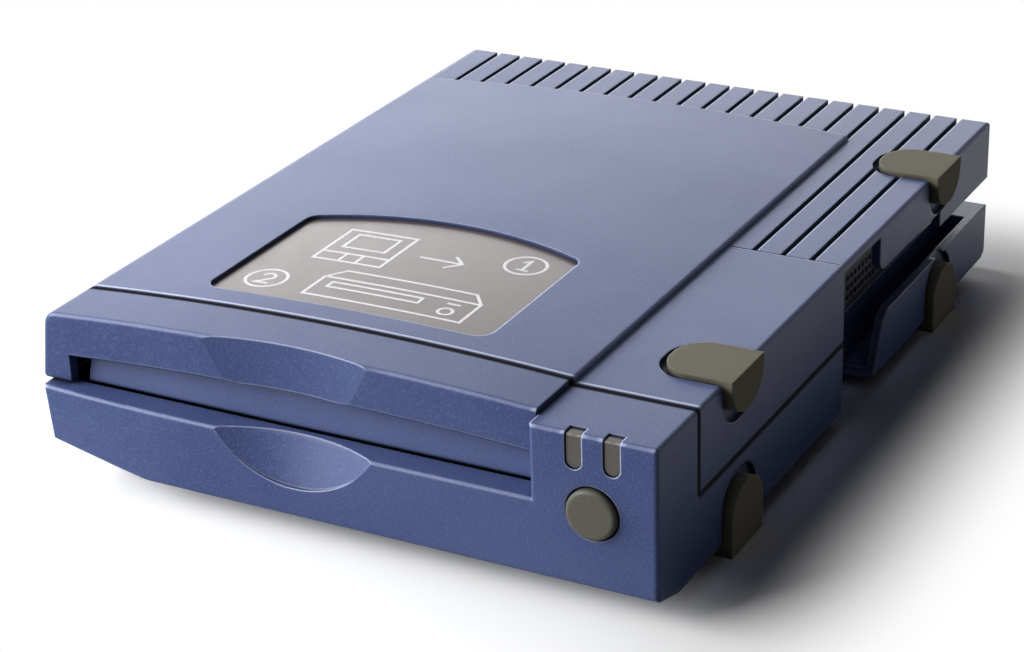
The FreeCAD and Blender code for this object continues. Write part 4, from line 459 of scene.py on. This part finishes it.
finishes = {
    # ABS from a spark-eroded mould: dull violet-blue with a fine grain, pale at the edges with wear
    # and painted highlight
    "case_plastic": moulded("abs_dark_violet_blue", "#445384", "#7f8db5", rough=0.42,
                            depth_mm=0.05, grain_mm=SPARK_GRAIN_MM, wear_and_highlight_share=0.95,
                            rubbed_and_highlight_colour=CASE_WEAR_AND_HIGHLIGHT, joints=True),
    # ABS from a smoother mould: a greyer blue with a soft sheen
    "door_plastic": moulded("abs_slate_blue_door", "#435281", "#7684aa", rough=0.40,
                            depth_mm=0.03),
    # smoke-grey acrylic, moulded: a dark gloss that mirrors the light behind, with painted shade
    # along its edges
    "smoked_window": clear("acrylic_smoked_grey", "#564a49", rough=0.30, through=0.0, ior=1.49,
                           rim_colour="#1d1a1b"),
    # clear polycarbonate, moulded, over a dark well: a glassy brown-grey bar with pale edges of
    # wear and painted highlight
    "clear_pipe": clear("polycarbonate_light_pipe", "#5b574e", rough=0.14, through=0.20,
                        ior=1.58),
    # ABS from a fine mould: warm grey, a little paler along its edge with wear and painted
    # highlight
    "button_plastic": moulded("abs_warm_grey_button", "#5f5e55", "#838278", rough=0.45,
                              depth_mm=0.03),
    # moulded elastomer: chalky and quite without gloss
    "pad_rubber": moulded("elastomer_pad", "#6d695b", "#8a8678", rough=0.75, depth_mm=0.04,
                          wear_and_highlight_share=0.3),
    # pierced steel sheet under sprayed paint: near black with a faint orange peel
    "grille_black": moulded("painted_pierced_sheet", "#1e2029", "#3a3d49", rough=0.45,
                            depth_mm=0.02),
    # nylon from a fine mould: deep black with a low sheen
    "black_plastic": moulded("nylon_black", "#1b1b1c", "#37373a", rough=0.45, depth_mm=0.03),
    # moulded acetal: dark grey, smooth and slightly waxy
    "tray_plastic": moulded("acetal_tray", "#3d3d40", "#5a5a5e", rough=0.40, depth_mm=0.02),
    # glass-filled resin, moulded: dull beige with pale specks of fibre
    "carriage_resin": moulded("glass_filled_resin", "#8a8578", "#a8a396", rough=0.50,
                              depth_mm=0.03),
    # solder mask screened over copper: glossy green, paler in patches as wide as the tracks
    "circuit_resin": flat_resin("solder_mask_green", "#1d5230", "#2b6b3f", rough=0.32,
                                patch_mm=1.2, share=0.8),
    # moulded epoxy: charcoal, dull, paler along its edges with wear and painted highlight
    "chip_resin": moulded("epoxy_chip", "#232325", "#3a3a3d", rough=0.50, depth_mm=0.02),
    # cast epoxy: a small glassy dome, greenish amber
    "lamp_lens": clear("epoxy_lens_amber_green", "#a7b06a", rough=0.15, through=0.4, ior=1.55),
    # polyimide film over tracks of 0.6 mm: shiny orange-brown, mottled darker by the tracks
    "flex_film": flat_resin("polyimide_film", "#a8651f", "#8a4f16", rough=0.30, patch_mm=0.6,
                            share=0.5),
    # rolled steel sheet with a zinc plating: light grey and satin, with long soft streaks
    "sheet_steel": metal("zinc_plated_sheet", "#b4b4b0", rough=0.38, grain_mm=0.35),
    # ground steel: brighter, with finer lines
    "rotor_steel": metal("ground_steel", "#bcbcba", rough=0.28, grain_mm=0.25),
    # rolled spring strip: a cooler, darker grey with close lines
    "spring_steel": metal("spring_strip", "#a9a9a6", rough=0.30, grain_mm=0.20),
    # drawn shell with a bright nickel plating: a pale warm grey with tight highlights
    "port_metal": metal("nickel_plated_shell", "#c2c1bb", rough=0.24, grain_mm=0.30),
    # sintered magnet with a dull nickel plating: mid grey and satin
    "magnet_grey": metal("nickel_plated_magnet", "#9a9a9b", rough=0.35, grain_mm=0.40),
    # enamelled copper wire of 0.25 mm in turns: orange-brown, darker between the wires
    "copper_coil": flat_resin("enamelled_copper_winding", "#a65a2c", "#7d3f1c", rough=0.35,
                              patch_mm=0.25, share=0.9),
}

painted_shade_finish = {
    # the lip is a moulding of its own, of the same ABS: a darker copy of the case finish, painted
    # shade for its face
    "front_lip": moulded("abs_dark_violet_blue_lip_painted_shade", "#3e4d7e", "#7786ae", rough=0.42,
                         depth_mm=0.05, grain_mm=SPARK_GRAIN_MM, wear_and_highlight_share=0.95,
                         rubbed_and_highlight_colour=CASE_WEAR_AND_HIGHLIGHT, joints=True),
}

slot_of = {row["node"]: row["material_slot"] for row in frame["record"]["subparts"]}
for name, piece in frame["nodes"].items():
    for held in piece.material_slots:
        held.material = painted_shade_finish.get(name, finishes[slot_of[name]])


def finished(name, mesh, material, body="housing"):
    """Link a mesh as a piece at the origin, with its finish, slot and body."""
    piece = bpy.data.objects.new(name, mesh)
    bpy.context.scene.collection.objects.link(piece)
    mesh.materials.clear()
    mesh.materials.append(material)
    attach(piece, body)
    return piece


# Window marks

# screen-printed ink: a flat white, thin and grey in patches, which are drawn coarser than the real
# screen's threads, so that they show
white_ink = flat_resin("screen_printed_white_ink", "#f2f2f2", "#e2e2e4", rough=0.45, patch_mm=0.5,
                       share=0.5)
panel_low, panel_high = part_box("window_panel")


def round_line(u, v, radius, first=0.0, last=360.0):
    """Points round an arc."""
    steps = max(8, int(abs(last - first) / ARC_STEP_DEGREES))
    turns = [math.radians(first + (last - first) * i / steps) for i in range(steps + 1)]
    return [(u + radius * math.cos(t), v + radius * math.sin(t)) for t in turns]


def framed(u0, v0, u1, v1):
    """The outline of a rectangle."""
    return [(u0, v0), (u1, v0), (u1, v1), (u0, v1), (u0, v0)]


def mark_lines():
    """Numbers 1 and 2 in rings, a plain cartridge with an arrow, and a plain box with a slot."""
    # strokes of the digits, from the middle of their rings
    one = [[(-1.2, 1.2), (0.2, 2.3), (0.2, -2.3)], [(-1.2, -2.3), (1.6, -2.3)]]
    two = [round_line(0, 0.9, 1.4, 170, -35) + [(-1.5, -2.3), (1.6, -2.3)]]
    lines = []
    for (u, v), digit in ((ONE_AT, one), (TWO_AT, two)):
        lines += [round_line(u, v, RING_MM)]
        lines += [[(u + du, v + dv) for du, dv in stroke] for stroke in digit]
    # a cartridge seen from above: case, label field and shutter
    lines += [framed(12, 22, 28, 38), framed(15, 29, 25, 36), [(12, 26), (28, 26)],
              [(18, 22), (18, 26)], [(22, 22), (22, 26)]]
    # an arrow beside the cartridge
    lines += [[(33, 30), (43, 30)], [(40, 33), (43, 30), (40, 27)]]
    # a box from the front, with its slot, a button, a lamp and the edges of its top
    lines += [framed(20, 5, 56, 14), framed(23, 9.6, 44, 12.0), round_line(51, 8.4, 1.5),
              [(49.5, 12), (52.5, 12)], [(20, 14), (23, 18), (53, 18), (56, 14)]]
    return lines


def subdivided(points, step):
    """The same line with no stretch longer than a step."""
    made = [points[0]]
    for (u0, v0), (u1, v1) in zip(points, points[1:]):
        parts = max(1, math.ceil(math.hypot(u1 - u0, v1 - v0) / step))
        made += [(u0 + (u1 - u0) * i / parts, v0 + (v1 - v0) * i / parts)
                 for i in range(1, parts + 1)]
    return made


def stroke_edges(points, width):
    """The two edges of a pen stroke along a line, point by point, mitred where it turns."""
    closed = math.dist(points[0], points[-1]) < SAME_POINT_MM
    rows = []
    for i, (u, v) in enumerate(points):
        before = points[i - 1] if i else (points[-2] if closed else None)
        after = points[i + 1] if i + 1 < len(points) else (points[1] if closed else None)
        ways = []
        for first, second in ((before, (u, v)), ((u, v), after)):
            if first and second:
                length = math.dist(first, second)
                ways.append(((second[0] - first[0]) / length, (second[1] - first[1]) / length))
        du, dv = sum(way[0] for way in ways), sum(way[1] for way in ways)
        length = math.hypot(du, dv) or 1.0
        du, dv = du / length, dv / length
        reach = width / 2 / max(MITRE_LEAST, abs(du * ways[0][0] + dv * ways[0][1]))
        rows.append(((u - dv * reach, v + du * reach), (u + dv * reach, v - du * reach)))
    return rows


def window_marks():
    """Flat ink lines laid on the crowned window."""
    source = frame["nodes"]["window_panel"].data
    panel = BVHTree.FromPolygons([v.co for v in source.vertices],
                                 [p.vertices for p in source.polygons])
    above = panel_high.z + MARK_DROP_MM * MM
    made = bmesh.new()

    def on_panel(u, v):
        start = Vector((panel_low.x + u * MM, panel_low.y + v * MM, above))
        hit = panel.ray_cast(start, Vector((0, 0, -1)))[0]
        return made.verts.new(hit + Vector((0, 0, MARK_LIFT_MM * MM)))

    for line in mark_lines():
        edges = stroke_edges(subdivided(line, MARK_STEP_MM), MARK_WIDTH_MM)
        rows = [(on_panel(*left), on_panel(*right)) for left, right in edges]
        for (a, b), (c, d) in zip(rows, rows[1:]):
            made.faces.new((a, b, d, c))
    bmesh.ops.recalc_face_normals(made, faces=made.faces)
    for face in made.faces:
        if face.normal.z < 0:
            face.normal_flip()
    mesh = bpy.data.meshes.new("window_marks")
    made.to_mesh(mesh)
    made.free()
    return finished("window_marks", mesh, white_ink)


window_marks()


# Rear port contacts

# copper alloy with a thin flash of gold: small warm dots in the pale faces of the ports
gold = metal("gold_flashed_contact", "#c9a24a", rough=0.25, grain_mm=0.2)


def contact_rows_tree():
    """Geometry Nodes: one straight row of round contacts along X."""
    tree = bpy.data.node_groups.new("contact_row", "GeometryNodeTree")
    for label, kind in (("Count", "NodeSocketInt"), ("Pitch", "NodeSocketFloat"),
                        ("Radius", "NodeSocketFloat"), ("Length", "NodeSocketFloat"),
                        ("Finish", "NodeSocketMaterial")):
        tree.interface.new_socket(label, in_out="INPUT", socket_type=kind)
    tree.interface.new_socket("Geometry", in_out="OUTPUT", socket_type="NodeSocketGeometry")
    given = node(tree, "NodeGroupInput")
    step = node(tree, "ShaderNodeCombineXYZ", {"X": given.outputs["Pitch"]})
    row = node(tree, "GeometryNodeMeshLine", {"Count": given.outputs["Count"],
                                              "Offset": step.outputs["Vector"]})
    pin = node(tree, "GeometryNodeMeshCylinder", {"Vertices": CONTACT_SIDES,
                                                  "Radius": given.outputs["Radius"],
                                                  "Depth": given.outputs["Length"]})
    laid = node(tree, "GeometryNodeInstanceOnPoints", {"Points": row.outputs["Mesh"],
                                                       "Instance": pin.outputs["Mesh"],
                                                       "Rotation": (math.pi / 2, 0.0, 0.0)})
    real = node(tree, "GeometryNodeRealizeInstances", {"Geometry": laid.outputs["Instances"]})
    coated = node(tree, "GeometryNodeSetMaterial", {"Geometry": real.outputs["Geometry"],
                                                    "Material": given.outputs["Finish"]})
    node(tree, "NodeGroupOutput", {"Geometry": coated.outputs["Geometry"]})
    return tree


def grown(tree, values):
    """The mesh that a Geometry Nodes tree makes from its named inputs."""
    seed = bpy.data.objects.new("seed", bpy.data.meshes.new("seed"))
    bpy.context.scene.collection.objects.link(seed)
    modifier = seed.modifiers.new("grow", "NODES")
    modifier.node_group = tree
    for item in tree.interface.items_tree:
        if item.in_out == "INPUT" and item.name in values:
            modifier[item.identifier] = values[item.name]
    view = bpy.context.evaluated_depsgraph_get()
    mesh = bpy.data.meshes.new_from_object(seed.evaluated_get(view), depsgraph=view)
    bpy.data.objects.remove(seed)
    return mesh


def port_contacts():
    """Two rows of contacts, 13 over 12, in the face of each rear port."""
    tree = contact_rows_tree()
    made = bmesh.new()
    middle_z = place(0, 0, PORT_MIDDLE_MM).z
    for port in ("data_port_left", "data_port_right"):
        low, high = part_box(port)
        middle_x = (low.x + high.x) / 2
        face_y = high.y - (INSERT_SINK_MM - CONTACT_OUT_MM / 2) * MM
        for count, side in CONTACT_ROWS:
            mesh = grown(tree, {"Count": count, "Pitch": CONTACT_PITCH_MM * MM,
                                "Radius": CONTACT_R_MM * MM, "Length": CONTACT_OUT_MM * MM,
                                "Finish": gold})
            half_row = (count - 1) / 2 * CONTACT_PITCH_MM * MM
            row_z = middle_z + side * CONTACT_ROW_MM / 2 * MM
            mesh.transform(Matrix.Translation((middle_x - half_row, face_y, row_z)))
            made.from_mesh(mesh)
            bpy.data.meshes.remove(mesh)
    mesh = bpy.data.meshes.new("port_contacts")
    made.to_mesh(mesh)
    made.free()
    return finished("port_contacts", mesh, gold)


port_contacts()


# Stage: pale floor, soft lamps and the camera

def shows_background(tree):
    """1 for a ray that shows what lies behind: seen, mirrored or let through."""
    ray = node(tree, "ShaderNodeLightPath")
    either = node(tree, "ShaderNodeMath",
                  {0: ray.outputs["Is Camera Ray"], 1: ray.outputs["Is Glossy Ray"]},
                  operation="MAXIMUM")
    return node(tree, "ShaderNodeMath",
                {0: either.outputs["Value"], 1: ray.outputs["Is Transmission Ray"]},
                operation="MAXIMUM").outputs["Value"]


def floor():
    """A plain white table top that keeps the object's shadow and turns plain white far off."""
    material, tree, output = new_material("white_table")
    seen = shows_background(tree)
    tint = node(tree, "ShaderNodeMix", {0: seen, MIX_A: FLOOR_BOUNCE, MIX_B: FLOOR_SHOWN},
                data_type="RGBA")
    soft = node(tree, "ShaderNodeBsdfDiffuse", {"Color": tint.outputs[MIX_RESULT]})
    paper = node(tree, "ShaderNodeEmission", {"Color": linear(WHITE), "Strength": 1.0})
    # distance from the object's footprint, which is centred on the table
    spot = node(tree, "ShaderNodeVectorMath",
                {0: node(tree, "ShaderNodeTexCoord").outputs["Object"]}, operation="ABSOLUTE")
    off = node(tree, "ShaderNodeVectorMath",
               {0: spot.outputs["Vector"], 1: (cad_high.x, cad_high.y, 0.0)},
               operation="SUBTRACT")
    off = node(tree, "ShaderNodeVectorMath", {0: off.outputs["Vector"], 1: (0.0, 0.0, 0.0)},
               operation="MAXIMUM")
    away = node(tree, "ShaderNodeVectorMath", {0: off.outputs["Vector"]}, operation="LENGTH")
    far = node(tree, "ShaderNodeMapRange",
               {"Value": away.outputs["Value"], **between((FLOOR_NEAR, FLOOR_FAR))},
               interpolation_type="SMOOTHSTEP")
    share = node(tree, "ShaderNodeMath", {0: far.outputs["Result"], 1: seen},
                 operation="MULTIPLY")
    top = node(tree, "ShaderNodeMixShader", {0: share.outputs["Value"], 1: soft.outputs["BSDF"],
                                             2: paper.outputs["Emission"]})
    tree.links.new(top.outputs["Shader"], output.inputs["Surface"])
    mesh = bpy.data.meshes.new("floor")
    corners = [(x * FLOOR_HALF, y * FLOOR_HALF, 0) for x, y in ((-1, -1), (1, -1), (1, 1), (-1, 1))]
    mesh.from_pydata(corners, [], [(0, 1, 2, 3)])
    mesh.materials.append(material)
    piece = bpy.data.objects.new("floor", mesh)
    bpy.context.scene.collection.objects.link(piece)


def world():
    """A white surround where it is seen or mirrored, and a weak even fill elsewhere."""
    made = bpy.data.worlds.new("white_surround")
    made.use_nodes = True
    tree = made.node_tree
    tree.nodes.clear()
    power = node(tree, "ShaderNodeMapRange",
                 {"Value": shows_background(tree), **between(WHOLE, (WORLD_FILL, 1.0))})
    sky = node(tree, "ShaderNodeBackground", {"Color": linear(WHITE),
                                              "Strength": power.outputs["Result"]})
    node(tree, "ShaderNodeOutputWorld", {"Surface": sky.outputs["Background"]})
    bpy.context.scene.world = made


def lamp(name, spot, sides, watts):
    """A soft rectangular lamp that looks at the object."""
    data = bpy.data.lights.new(name, "AREA")
    data.shape = "RECTANGLE"
    data.size, data.size_y = sides
    data.energy = watts
    lit = bpy.data.objects.new(name, data)
    lit.location = spot
    lit.rotation_euler = (Vector(LAMP_AIM) - Vector(spot)).to_track_quat("-Z", "Y").to_euler()
    bpy.context.scene.collection.objects.link(lit)


def camera():
    """The photograph's camera, from its solved angles and distance."""
    turn, rise, roll = CAMERA_AZIMUTH, CAMERA_ELEVATION, CAMERA_ROLL
    back = Vector((math.sin(turn) * math.cos(rise), -math.cos(turn) * math.cos(rise),
                   math.sin(rise)))
    flat_right = Vector((math.cos(turn), math.sin(turn), 0))
    flat_up = flat_right.cross(-back)
    right = flat_right * math.cos(roll) + flat_up * math.sin(roll)
    up = flat_up * math.cos(roll) - flat_right * math.sin(roll)
    aside, above = CAMERA_ASIDE_MM
    data = bpy.data.cameras.new("photo_camera")
    data.lens = LENS_MM
    data.sensor_width = SENSOR_MM
    data.sensor_fit = "HORIZONTAL"
    data.clip_start = CAMERA_NEAREST
    eye = bpy.data.objects.new("photo_camera", data)
    centre = place(*CAMERA_PIVOT_MM)
    spot = centre + (right * aside + up * above + back * CAMERA_DISTANCE_MM) * MM
    turned = Matrix((right, up, back)).transposed().to_4x4()
    eye.matrix_world = Matrix.Translation(spot) @ turned
    bpy.context.scene.collection.objects.link(eye)
    bpy.context.scene.camera = eye


floor()
world()
for entry in LAMPS:
    lamp(*entry)
camera()
bpy.context.scene.view_settings.view_transform = "Standard"
